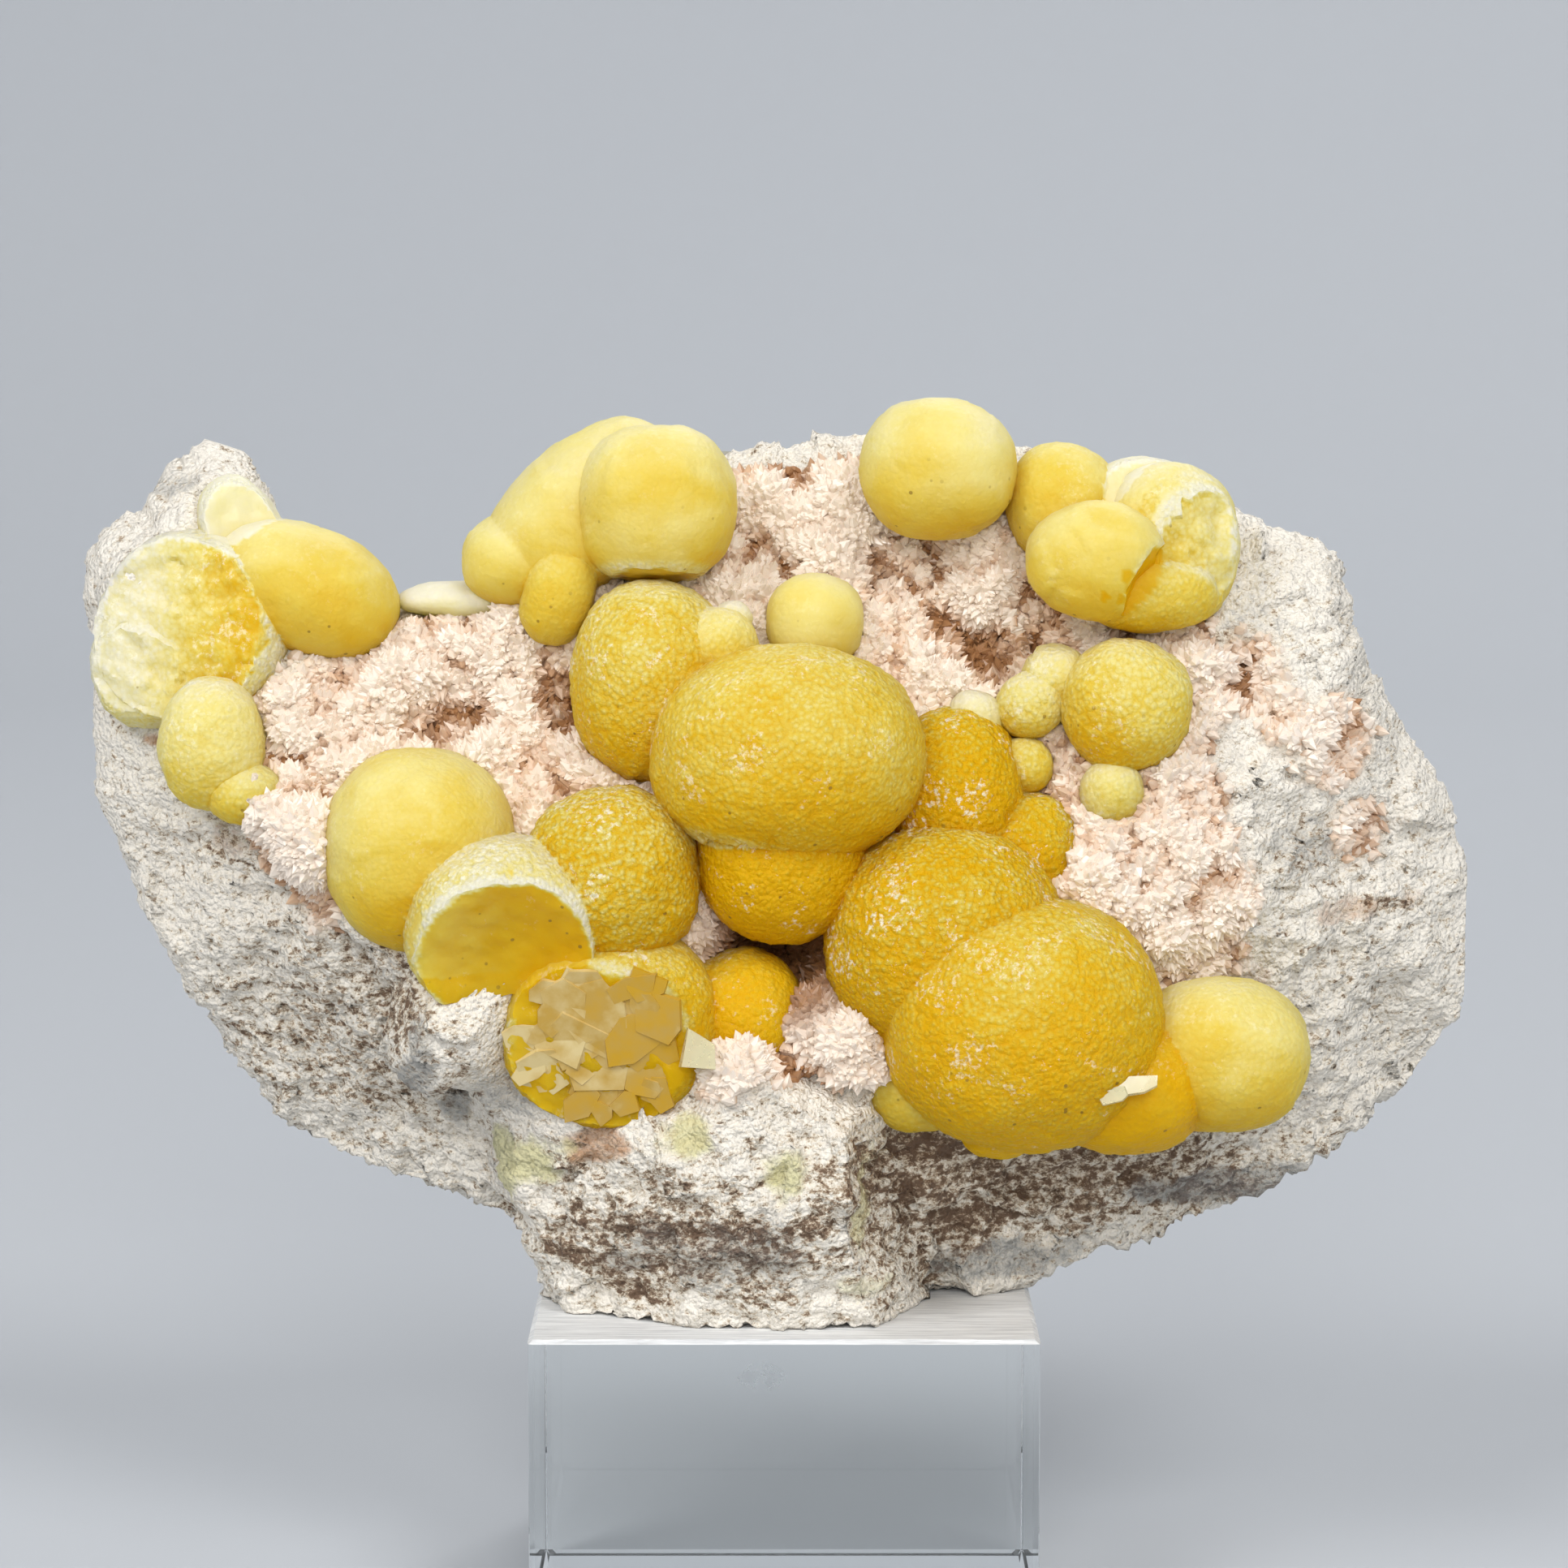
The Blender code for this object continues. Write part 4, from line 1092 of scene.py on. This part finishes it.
# The left paleness ends and the right one starts at this share of the ball's half width
PALE_REACH = 0.8
for name, balls in (("fluorite_left", LEFT_BALLS), ("fluorite_main", MAIN_BALLS),
                    ("fluorite_upper_right", UPPER_RIGHT_BALLS)):
    mesh = joined(name, balls)
    spots = places(mesh)
    which, out = owner(spots, balls)
    pale, grit = np.array([size[6:8] for size in balls.values()])[which].T
    for index, (ball, size) in enumerate(balls.items()):
        for place, gone, _, _, grainy, left_pale, right_pale in BREAKS.get((name, ball), ()):
            away = (spots - place) @ gone
            face = (which == index) & (np.abs(away) < BREAK_NEAR) & (out < BREAK_INSIDE)
            reach = size[3] * PALE_REACH
            way = ramp(spots[:, 0], size[0] - reach, size[0] + reach)
            pale = np.where(face, left_pale + (right_pale - left_pale) * way, pale)
            grit = np.where(face, min(1, grainy * 2), grit)
            band = ramp(np.abs(away / np.linalg.norm(gone)), BAND_WIDTH, 0.3)
            band *= (which == index) & (out >= BAND_FROM)
            band *= ramp(spots[:, 2], place[2] - BAND_BELOW, place[2] + BAND_ABOVE)
            pale = pale + BAND_PALE * band * (out < BAND_TO)
            grit = np.maximum(grit, BAND_GRIT * band)
    put_attribute(mesh, "pale", pale)
    put_attribute(mesh, "grit", grit)
    new_piece(name + "_balls", mesh, [fluorite, cleaved], name)
    mesh.set_sharp_from_angle(angle=math.radians(50))

# %% [markdown]
# ## Flakes and chips
#
# Fluorite splits along flat planes. Thin plates still cling to the broken ball and lap over
# each other, a small clear block lies at its foot, and a sliver rests against the big front
# ball. They could be scattered with Geometry Nodes, but a short table and a fixed row of
# random numbers say more plainly where each one is. Each is a flat many-cornered plate with
# a real thickness.

# %% One plate
# Each corner wanders by this share of its angle and reaches this far, in half sizes. The back
# is larger by this share, so that the sides slope
ANGLE_WANDER, CORNER_REACH, BACK_SPREAD = 0.28, (0.75, 1.15), 0.06


def plate(place, facing_way, turn, half, thick, corners, rng):
    """A ring of corners at uneven angles and reaches, times two half sizes across the way it
    faces, and the same ring a thickness behind it. Fans close both, walls join them."""
    away = np.array(facing_way) / np.linalg.norm(facing_way)
    side = np.cross(away, (math.sin(turn), 0.05, math.cos(turn)))
    side /= np.linalg.norm(side)
    other = np.cross(away, side)
    wander = rng.uniform(-ANGLE_WANDER, ANGLE_WANDER, corners)
    angle = (np.arange(corners) + wander) * 2 * np.pi / corners
    reach = rng.uniform(*CORNER_REACH, corners)
    a, b = half[0] * reach * np.cos(angle), half[1] * reach * np.sin(angle)
    ring = np.array(place) + a[:, None] * side + b[:, None] * other
    back = ring - away * thick + (ring - place) * BACK_SPREAD
    points = np.concatenate([ring, back, [ring.mean(axis=0)], [back.mean(axis=0)]])
    k = np.arange(corners)
    n = np.roll(k, -1)
    faces = [fan(k, 2 * corners), fan(k + corners, 2 * corners + 1)[:, [1, 0, 2]],
             np.stack([k, k + corners, n + corners], 1), np.stack([k, n + corners, n], 1)]
    return points, np.concatenate(faces)


one_plate, _ = plate((0, 0, 0), (0, -1, 0), 0, (2, 2), 0.4, 6, np.random.default_rng(1))
print("a plate with six corners has", len(one_plate), "points")

# %% Where the plates lie
# The clear ones: middle, the way it faces, turn, half sizes, thickness, corners
CLEAR_PLATES = [((-8.4, -23.0, 28.2), (0.1, -0.97, 0.15), 0.9, (2.2, 2.2), 2.6, 4),
                ((33.5, -26.3, 25.5), (0.1, -0.9, 0.45), 1.45, (1.0, 3.0), 0.7, 7),
                ((31.8, -27.0, 24.6), (-0.2, -0.9, 0.3), 1.2, (0.7, 1.6), 0.5, 6)]
# The plates on the break are strewn over an oval: its middle and its half widths
BREAK_PLATES, BREAK_MIDDLE, BREAK_WIDE, BREAK_HIGH = 44, (-17.6, -20.5, 28.4), 7.9, 7.3
# The break leans back upwards and to the right by these slopes, from this x and height
LEAN_UP, LEAN_RIGHT, LEAN_X, LEAN_HIGH = 0.19, 0.16, -17, 29.5
# How far the plates stand out, the way they face and how much that strays
STAND_OUT, PLATE_WAY, STRAY = (0.05, 0.4), (-0.15, -0.96, -0.18), 0.07
# Their half sizes, thickness and number of corners
PLATE_HALF, PLATE_THICK, PLATE_CORNERS = (1.9, 4.8), (0.25, 0.45), (5, 8)
chance = np.random.default_rng(11)
flakes = list(CLEAR_PLATES)
for number in range(BREAK_PLATES):
    turn, reach = chance.uniform(0, 2 * math.pi), math.sqrt(chance.uniform())
    spot = np.array(BREAK_MIDDLE) + reach * np.array([BREAK_WIDE * math.cos(turn), 0,
                                                      BREAK_HIGH * math.sin(turn)])
    spot[1] -= (LEAN_UP * (spot[2] - LEAN_HIGH) + LEAN_RIGHT * (spot[0] - LEAN_X)
                + chance.uniform(*STAND_OUT))
    # Plates near the break's edge are smaller
    near_rim = 1.0 - 0.5 * reach ** 2
    flakes.append((tuple(spot), (chance.normal() * STRAY + PLATE_WAY[0], PLATE_WAY[1],
                                 chance.normal() * STRAY + PLATE_WAY[2]),
                   chance.uniform(0, 3), tuple(chance.uniform(*PLATE_HALF, 2) * near_rim),
                   chance.uniform(*PLATE_THICK), int(chance.integers(*PLATE_CORNERS))))
made = [plate(*flake, chance) for flake in flakes]
starts = np.cumsum([0] + [len(points) for points, _ in made])
mesh = new_mesh("fluorite_flakes", np.concatenate([points for points, _ in made]),
                [np.concatenate([faces + start for (_, faces), start in zip(made, starts)])])
print(len(made), "plates")

# %% Clear and veiled cleavage fluorite
# The three loose chips are clean splits. They let half of the light through, and are as glossy
# as glass but for fine scratches, in clouds 2 mm wide
flake_material, tree, shader, place = new_material("clear_cleavage_fluorite", {
    "Base Color": "#F7EFC4", "IOR": 1.434, "Transmission Weight": 0.45})
veil = add_node(tree, "TexNoise", {"Vector": place, "Scale": 0.5, "Detail": 4})
rough = add_node(tree, "MapRange", {"Value": veil, 1: 0.35, 2: 0.65, 3: 0.12, 4: 0.45})
tree.links.new(rough, shader.inputs["Roughness"])

# The plates on the break lie on deep yellow stone and have inner cracks, which veil them, so
# each is an even tan or gold with a glossy split face
veil_material, tree, shader, place = new_material("veiled_cleavage_fluorite", {
    "Roughness": 0.28, "IOR": 1.434})
pale = add_node(tree, "Attribute", attribute_name="pale", out="Fac")
veil = add_node(tree, "TexNoise", {"Vector": place, "Scale": 0.45, "Detail": 4})
level = add_node(tree, "Math", {0: veil, 1: pale}, operation="ADD")
shades = add_node(tree, "ValToRGB", {"Fac": level}, stops=[
    (0.2, "#C2961E"), (0.5, "#BA9644"), (0.9, "#D2BD86")])
tree.links.new(shades, shader.inputs["Base Color"])

# Each plate has its own tone, paler to the left
tone = chance.uniform(-0.15, 0.15, len(made))
tone -= np.array([0.035 * (flake[0][0] - LEAN_X) for flake in flakes])
put_attribute(mesh, "pale", np.repeat(tone, [len(points) for points, _ in made]))
flake = np.repeat(np.arange(len(made)), [len(faces) for _, faces in made])
mesh.polygons.foreach_set("material_index", (flake >= len(CLEAR_PLATES)).astype(np.int32))
new_piece("fluorite_flakes", mesh, [flake_material, veil_material], "fluorite_main",
          smooth=False)

# %% [markdown]
# ## Quartz points
#
# The crust is thousands of tiny six-sided quartz crystals, each ending in a pyramid. A
# particle system could strew them, but the export needs real meshes. So their feet are drawn
# by chance over the crust, each cell by its area, and all crystals are worked out at once.
# They lean a little from the stone's normal and leave the balls free.

# %% One crystal, many times
# Numbers of the corners: a ring of six at the foot, six at the shoulder, and the tip
POINT_FACES = np.array([f for k in range(6) for f in
                        ((k, (k + 1) % 6, 6 + (k + 1) % 6), (k, 6 + (k + 1) % 6, 6 + k),
                         (6 + k, 6 + (k + 1) % 6, 12))] + [(0, k + 1, k) for k in range(1, 5)])
POINT_CORNERS = 13
# How deep the foot is sunk, how high the pyramid is and how far its tip is off, in widths,
# and how much narrower the shoulder is
FOOT_DEEP, PYRAMID, TIP_OFF, SHOULDER = 0.5, 0.8, 0.25, 0.92
ALL_BALLS = [*LEFT_BALLS.values(), *MAIN_BALLS.values(), *UPPER_RIGHT_BALLS.values()]
rng = np.random.default_rng(7)


def in_balls(points, share=0.97):
    """True for points inside any ball, shrunk to a share of its size."""
    hit = np.zeros(len(points), bool)
    for size in ALL_BALLS:
        hit |= how_far_out(points, size) < share
    return hit


def crystals(feet, ways, widths, lengths):
    """Twelve corners on two rings and a tip for each crystal: foot + ring x width across the
    way, shoulder at the length less the pyramid, tip at the length."""
    side = np.cross(ways, rng.normal(size=ways.shape))
    side /= np.linalg.norm(side, axis=1, keepdims=True)
    other = np.cross(ways, side)
    angle = np.arange(6) * np.pi / 3
    ring = side[:, None] * np.cos(angle)[:, None] + other[:, None] * np.sin(angle)[:, None]
    half = widths[:, None, None] / 2
    squash = rng.uniform(0.8, 1.15, (len(feet), 6, 1))
    base = feet[:, None] - ways[:, None] * FOOT_DEEP + ring * half
    reach = (lengths - widths * PYRAMID)[:, None, None]
    top = feet[:, None] + ways[:, None] * np.maximum(reach, 0.05) + ring * half * squash * SHOULDER
    tip = feet[:, None] + (ways * lengths[:, None])[:, None] + side[:, None] * half * TIP_OFF
    points = np.concatenate([base, top, tip], axis=1).reshape(-1, 3)
    faces = POINT_FACES[None] + POINT_CORNERS * np.arange(len(feet))[:, None, None]
    return points, faces.reshape(-1, 3)


print("a crystal has", len(POINT_FACES), "triangles")

# %% [markdown]
# A random foot in a cell is a blend of the cell's four corners with four random shares that
# add up to one. Large cells get more feet, since the chance goes by area.

# %% Where the crystals stand
TRIES = 30000
cells = rock_faces[:(columns - 1) * (rows - 1)]
corners = rock_points[cells]
area = np.linalg.norm(np.cross(corners[:, 2] - corners[:, 0], corners[:, 3] - corners[:, 1]),
                      axis=1) / 2
weight = area * crust[cells].mean(axis=1) ** 2
pick = rng.choice(len(cells), TRIES, p=weight / weight.sum())
mix = rng.dirichlet((1, 1, 1, 1), len(pick))[:, :, None]
feet = (corners[pick] * mix).sum(axis=1)
outward = facing(rock_points, rock_faces)[cells[pick]].mean(axis=1)
feet_free = ~in_balls(feet)
feet, outward, pick = feet[feet_free], outward[feet_free], pick[feet_free]
print(len(feet), "crystals on", round(weight.sum() / 100, 1), "square centimetres")

# %% [markdown]
# The points are milky quartz, white at the tips where they are thin. Their foot is painted
# peach and darker, as painted light that has passed through iron-stained stone and painted
# shade between them. An attribute that runs from foot to tip gives this for a fraction of
# the cost of scattered light.

# %% Milky quartz points
# Grown faces are glossy but tiny, so a roughness of 0.3 keeps their glints from sparkling
quartz, tree, shader, place = new_material("milky_quartz_points", {
    "Roughness": 0.3, "IOR": 1.54})
tip, tone, deep = (add_node(tree, "Attribute", attribute_name=key, out="Fac")
                   for key in ("tip", "tone", "deep"))
# Painted: the foot of each point is darker, as painted shade between the points, and points in
# hollows and near the cave are browner, as painted shade
colour = add_node(tree, "Mix", {0: tone, 6: "#F4E7D8", 7: "#E0BC9A"}, data_type="RGBA", out=2)
colour = add_node(tree, "Mix", {0: tip, 6: "#C9A380", 7: colour}, data_type="RGBA", out=2)
colour = add_node(tree, "Mix", {0: deep, 6: colour, 7: "#966435"}, data_type="RGBA", out=2)
tree.links.new(colour, shader.inputs["Base Color"])
print(quartz.name, "has", len(tree.nodes), "nodes")

# %% Grow the crystals
# The small dark cave between the balls: x, height, and where its shade starts and is full
CAVE_X, CAVE_HIGH, CAVE_FROM, CAVE_FULL = -0.5, 36.5, 9, 5
# Crystals are this wide, and their length is this plus a share of the width
CRYSTAL_WIDE, CRYSTAL_LONG = (0.7, 1.7), (0.15, 0.7)
near_cave = ramp(np.hypot(feet[:, 0] - CAVE_X, feet[:, 2] - CAVE_HIGH), CAVE_FROM, CAVE_FULL)
# Points in hollows and near the cave are painted brown, as painted shade
below = hollow[cells[pick]].mean(axis=1)
hollow_shade = np.clip(ramp(below, 0.3, 1.6) * 0.85 + 0.85 * near_cave, 0, 0.9)
# Crystals in hollows are longer and lean more
lean = outward + rng.normal(size=outward.shape) * (0.2 + 0.14 * ramp(below, -0.5, 1))[:, None]
lean /= np.linalg.norm(lean, axis=1, keepdims=True)
widths = rng.uniform(*CRYSTAL_WIDE, len(feet))
share = 0.35 + 0.3 * ramp(below, -0.6, 0.8)
lengths = rng.uniform(*CRYSTAL_LONG, len(feet)) + share * widths
patch = crumple(feet, 16, 2, 51)
half = len(feet) // 2
for index, name in enumerate(("quartz_points_a", "quartz_points_b")):
    part = slice(index * half, (index + 1) * half)
    points, faces = crystals(feet[part], lean[part], widths[part], lengths[part])
    mesh = new_mesh(name, points, [faces])
    # Warmer in patches, as tone, and in hollows, as painted shade
    tone_and_hollow_shade = 0.2 + 0.55 * below[part] + 0.5 * patch[part] + rng.normal(size=half) * 0.12
    put_attribute(mesh, "tip", np.tile([0] * 6 + [0.85] * 6 + [1.0], half))
    put_attribute(mesh, "tone", np.clip(tone_and_hollow_shade, 0, 1).repeat(POINT_CORNERS))
    put_attribute(mesh, "deep", hollow_shade[part].repeat(POINT_CORNERS))
    new_piece(name, mesh, [quartz], "matrix", smooth=False)

# %% [markdown]
# ## Clear stand
#
# The stand is a block of cast acrylic with polished sides. Its top was sawn, so it is frosted
# white with fine lines. A cube with a Bevel modifier would do for the block, but the saw also
# chipped the top edge. So it is four square rings, and the top one is made ragged.

# %% Acrylic block
BLOCK_SIDE, BLOCK_HEIGHT, BLOCK_EDGE = 50.0, 31.0, 0.4
SIDE_CELLS = 60


def block_points(cells):
    """Four rings from the bottom to the top: each is a square with rounded corners, and the
    first and the last are inset by the bevel."""
    side = np.linspace(-1, 1, cells + 1)[:-1]
    one = np.ones(cells)
    square = np.concatenate([np.stack([side, -one], 1), np.stack([one, side], 1),
                             np.stack([-side, one], 1), np.stack([-one, -side], 1)])
    rings = []
    for inset, z in ((BLOCK_EDGE, -BLOCK_HEIGHT), (0, BLOCK_EDGE - BLOCK_HEIGHT),
                     (0, -BLOCK_EDGE), (BLOCK_EDGE, 0)):
        reach = BLOCK_SIDE / 2 - inset
        ring = np.clip(square * (reach + 0.2), -reach, reach)
        # The points at the corners are drawn in, which rounds them
        corner = np.abs(square).min(axis=1) > 0.98
        ring[corner] *= 1 - 0.3 * BLOCK_EDGE / reach
        rings.append(np.column_stack([ring, np.full(len(ring), z)]))
    return np.concatenate(rings)


points = block_points(SIDE_CELLS)
count = 4 * SIDE_CELLS
ring_ids = np.arange(4 * count).reshape(4, count)
walls = tube_faces(ring_ids)
# Chips of 0.9 mm and waves of 3 mm, at most a third of a millimetre deep
top_ring = points[3 * count:]
chips, waves = swell(top_ring, 0.9, 71), swell(top_ring, 3, 72)
ragged = 0.35 * np.maximum(0, chips) + 0.2 * np.maximum(0, waves)
points[3 * count:, :2] *= 1 + (ragged[:, None] - 0.15) / (BLOCK_SIDE / 2)
bottom, top = fan(ring_ids[0], 4 * count)[:, [1, 0, 2]], fan(ring_ids[3], 4 * count + 1)
points = np.concatenate([points, [[0, 0, -BLOCK_HEIGHT], [0, 0, 0]]])
mesh = new_mesh("clear_block", points, [walls, bottom, top])
print("block", BLOCK_SIDE, "x", BLOCK_SIDE, "x", BLOCK_HEIGHT, "mm")

# %% [markdown]
# Acrylic has an IOR of 1.49 and hardly any colour. Polished, it is as clear as glass, but
# dust and a fingermark just under the top dull its shine in places, which a noise in the
# roughness gives. The sawn top scatters all light, so it isn't clear at all.

# %% Polished and sawn acrylic
SMUDGE_PLACE, SMUDGE_SIZE = (-2.3, -BLOCK_SIDE / 2, 27.4), (3.6, 1.0, 2.0)
clear, tree, shader, place = new_material("polished_cast_acrylic", {
    "Base Color": "#F7FAFA", "Transmission Weight": 1.0, "IOR": 1.49})
# Dust in clouds of 1.7 mm. Its grains are far finer, and are drawn coarser, to show
dust = add_node(tree, "TexNoise", {"Vector": place, "Scale": 0.6, "Detail": 5,
                                   "Roughness": 0.7})
rough = add_node(tree, "MapRange", {"Value": dust, 1: 0.62, 2: 0.8, 3: 0.015, 4: 0.3})
off = add_node(tree, "VectorMath", {0: place, 1: SMUDGE_PLACE}, operation="SUBTRACT")
off = add_node(tree, "VectorMath", {0: off, 1: SMUDGE_SIZE}, operation="DIVIDE")
far = add_node(tree, "VectorMath", {0: off}, operation="LENGTH", out="Value")
near = add_node(tree, "MapRange", {"Value": far, 1: 1.0, 2: 0.4})
haze = add_node(tree, "MapRange", {"Value": dust, 1: 0.42, 2: 0.55, 4: 0.5})
dull = add_node(tree, "Math", {0: near, 1: haze, 2: rough}, operation="MULTIPLY_ADD")
tree.links.new(dull, shader.inputs["Roughness"])

# Saw lines 0.4 mm apart that run across the block, in tones from grey to white
sawn, tree, shader, place = new_material("sawn_cast_acrylic", {
    "Roughness": 0.6, "IOR": 1.49})
strokes = add_node(tree, "Mapping", {"Vector": place, "Rotation": (0, 0, 0.05),
                                     "Scale": (0.12, 2.6, 1)})
lines = add_node(tree, "TexNoise", {"Vector": strokes, "Scale": 1.0, "Detail": 5,
                                    "Roughness": 0.7})
colour = add_node(tree, "ValToRGB", {"Fac": lines}, stops=[
    (0.35, "#C9CACB"), (0.6, "#F1F2F2")])
tree.links.new(colour, shader.inputs["Base Color"])
bump = add_node(tree, "Bump", {"Height": lines, "Strength": 0.6, "Distance": 0.15 * MM})
tree.links.new(bump, shader.inputs["Normal"])

new_piece("clear_block", mesh, [clear, sawn], "acrylic_block", smooth=False)
# The sawn faces: the bevel under the top ring, and the top
slots = np.zeros(len(mesh.polygons), int)
slots[len(walls) - count:len(walls)] = 1
slots[len(walls) + count:] = 1
mesh.polygons.foreach_set("material_index", slots)

# %% [markdown]
# ## Stage
#
# The specimen stands on a pale sweep of backdrop paper, flat under it and curving up all
# round. A plain plane would show its far edge, and a flat wall a corner. The sweep is a
# profile turned about the middle, so every view has the same calm background.

# %% Backdrop
FLAT_TO, BEND, WALL_TOP, SPOKES = 0.9, 0.6, 2.2, 96
turn = np.linspace(0, 2 * np.pi, SPOKES + 1)[:-1]
curve = [(FLAT_TO + BEND * math.sin(t), BEND - BEND * math.cos(t))
         for t in np.linspace(0.1, math.pi / 2, 14)]
profile = [(0.0, 0.0), (FLAT_TO, 0.0)] + curve + [(FLAT_TO + BEND, WALL_TOP)]
stage_points = np.array([(r * math.cos(a), r * math.sin(a), z) for r, z in profile for a in turn])
stage_faces = tube_faces(np.arange(len(stage_points)).reshape(-1, SPOKES))
floor_mesh = bpy.data.meshes.new("floor")
floor_mesh.from_pydata(stage_points, [], stage_faces.tolist())
floor_mesh.polygons.foreach_set("use_smooth", np.ones(len(floor_mesh.polygons), bool))
floor = new_object("floor", floor_mesh)
# Matt coated paper, with no shine, in a light neutral grey
paper, tree, shader, place = new_material("backdrop_paper", {
    "Base Color": "#BCBFC3", "Roughness": 0.9})
floor_mesh.materials.append(paper)
print("backdrop of", len(floor_mesh.polygons), "faces")

# %% [markdown]
# ## Light
#
# Two soft boxes high in front, one to each side, show the balls as round, a weak low one
# reaches under them, and one behind draws a bright rim. Bare points of light would put hard
# specks on the balls. The lamps can't be seen by the camera or through the block.

# %% Soft boxes and room light
AIM = (0, 0, 0.075)


def soft_light(name, where, size, power):
    """A square soft box that faces the middle of the specimen."""
    data = bpy.data.lights.new(name, "AREA")
    data.size, data.energy = size, power
    lamp = new_object(name, data)
    lamp.location = where
    lamp.rotation_euler = (Vector(AIM) - Vector(where)).to_track_quat("-Z", "Y").to_euler()
    lamp.visible_camera = lamp.visible_transmission = False
    print(name, power, "W")


soft_light("key", (0.6, -1.0, 1.3), 0.6, 10.4)
soft_light("fill", (-0.85, -0.9, 1.2), 0.6, 10.6)
soft_light("low fill", (0.0, -1.2, 0.6), 0.4, 4.4)
soft_light("rim", (0.3, 1.05, 1.2), 0.7, 8)
world = bpy.data.worlds.new("studio")
world.use_nodes = True
room = world.node_tree.nodes["Background"]
room.inputs["Color"].default_value = linear("#EEF0F4")
room.inputs["Strength"].default_value = 0.26
bpy.context.scene.world = world

# %% [markdown]
# ## Camera
#
# The block's edges in the photograph run together, and that gives the camera's distance,
# height and tilt. The long lens follows from how large the block appears.

# %% Camera
LENS, SENSOR, TILT, CAMERA_AT = 104.35, 36, 83, (0, -0.4571, 0.1386)
lens = bpy.data.cameras.new("camera")
lens.sensor_width, lens.lens = SENSOR, LENS
lens.clip_start, lens.clip_end = 0.01, 10
camera = new_object("camera", lens)
camera.location = CAMERA_AT
camera.rotation_euler = (math.radians(TILT), 0, 0)
bpy.context.scene.camera = camera
bpy.context.scene.view_settings.view_transform = "Standard"
print("camera", LENS, "mm, tilted", TILT, "degrees")

# %% [markdown]
# ## Update
#
# The last line updates the view layer.

# %% Update
bpy.context.view_layer.update()
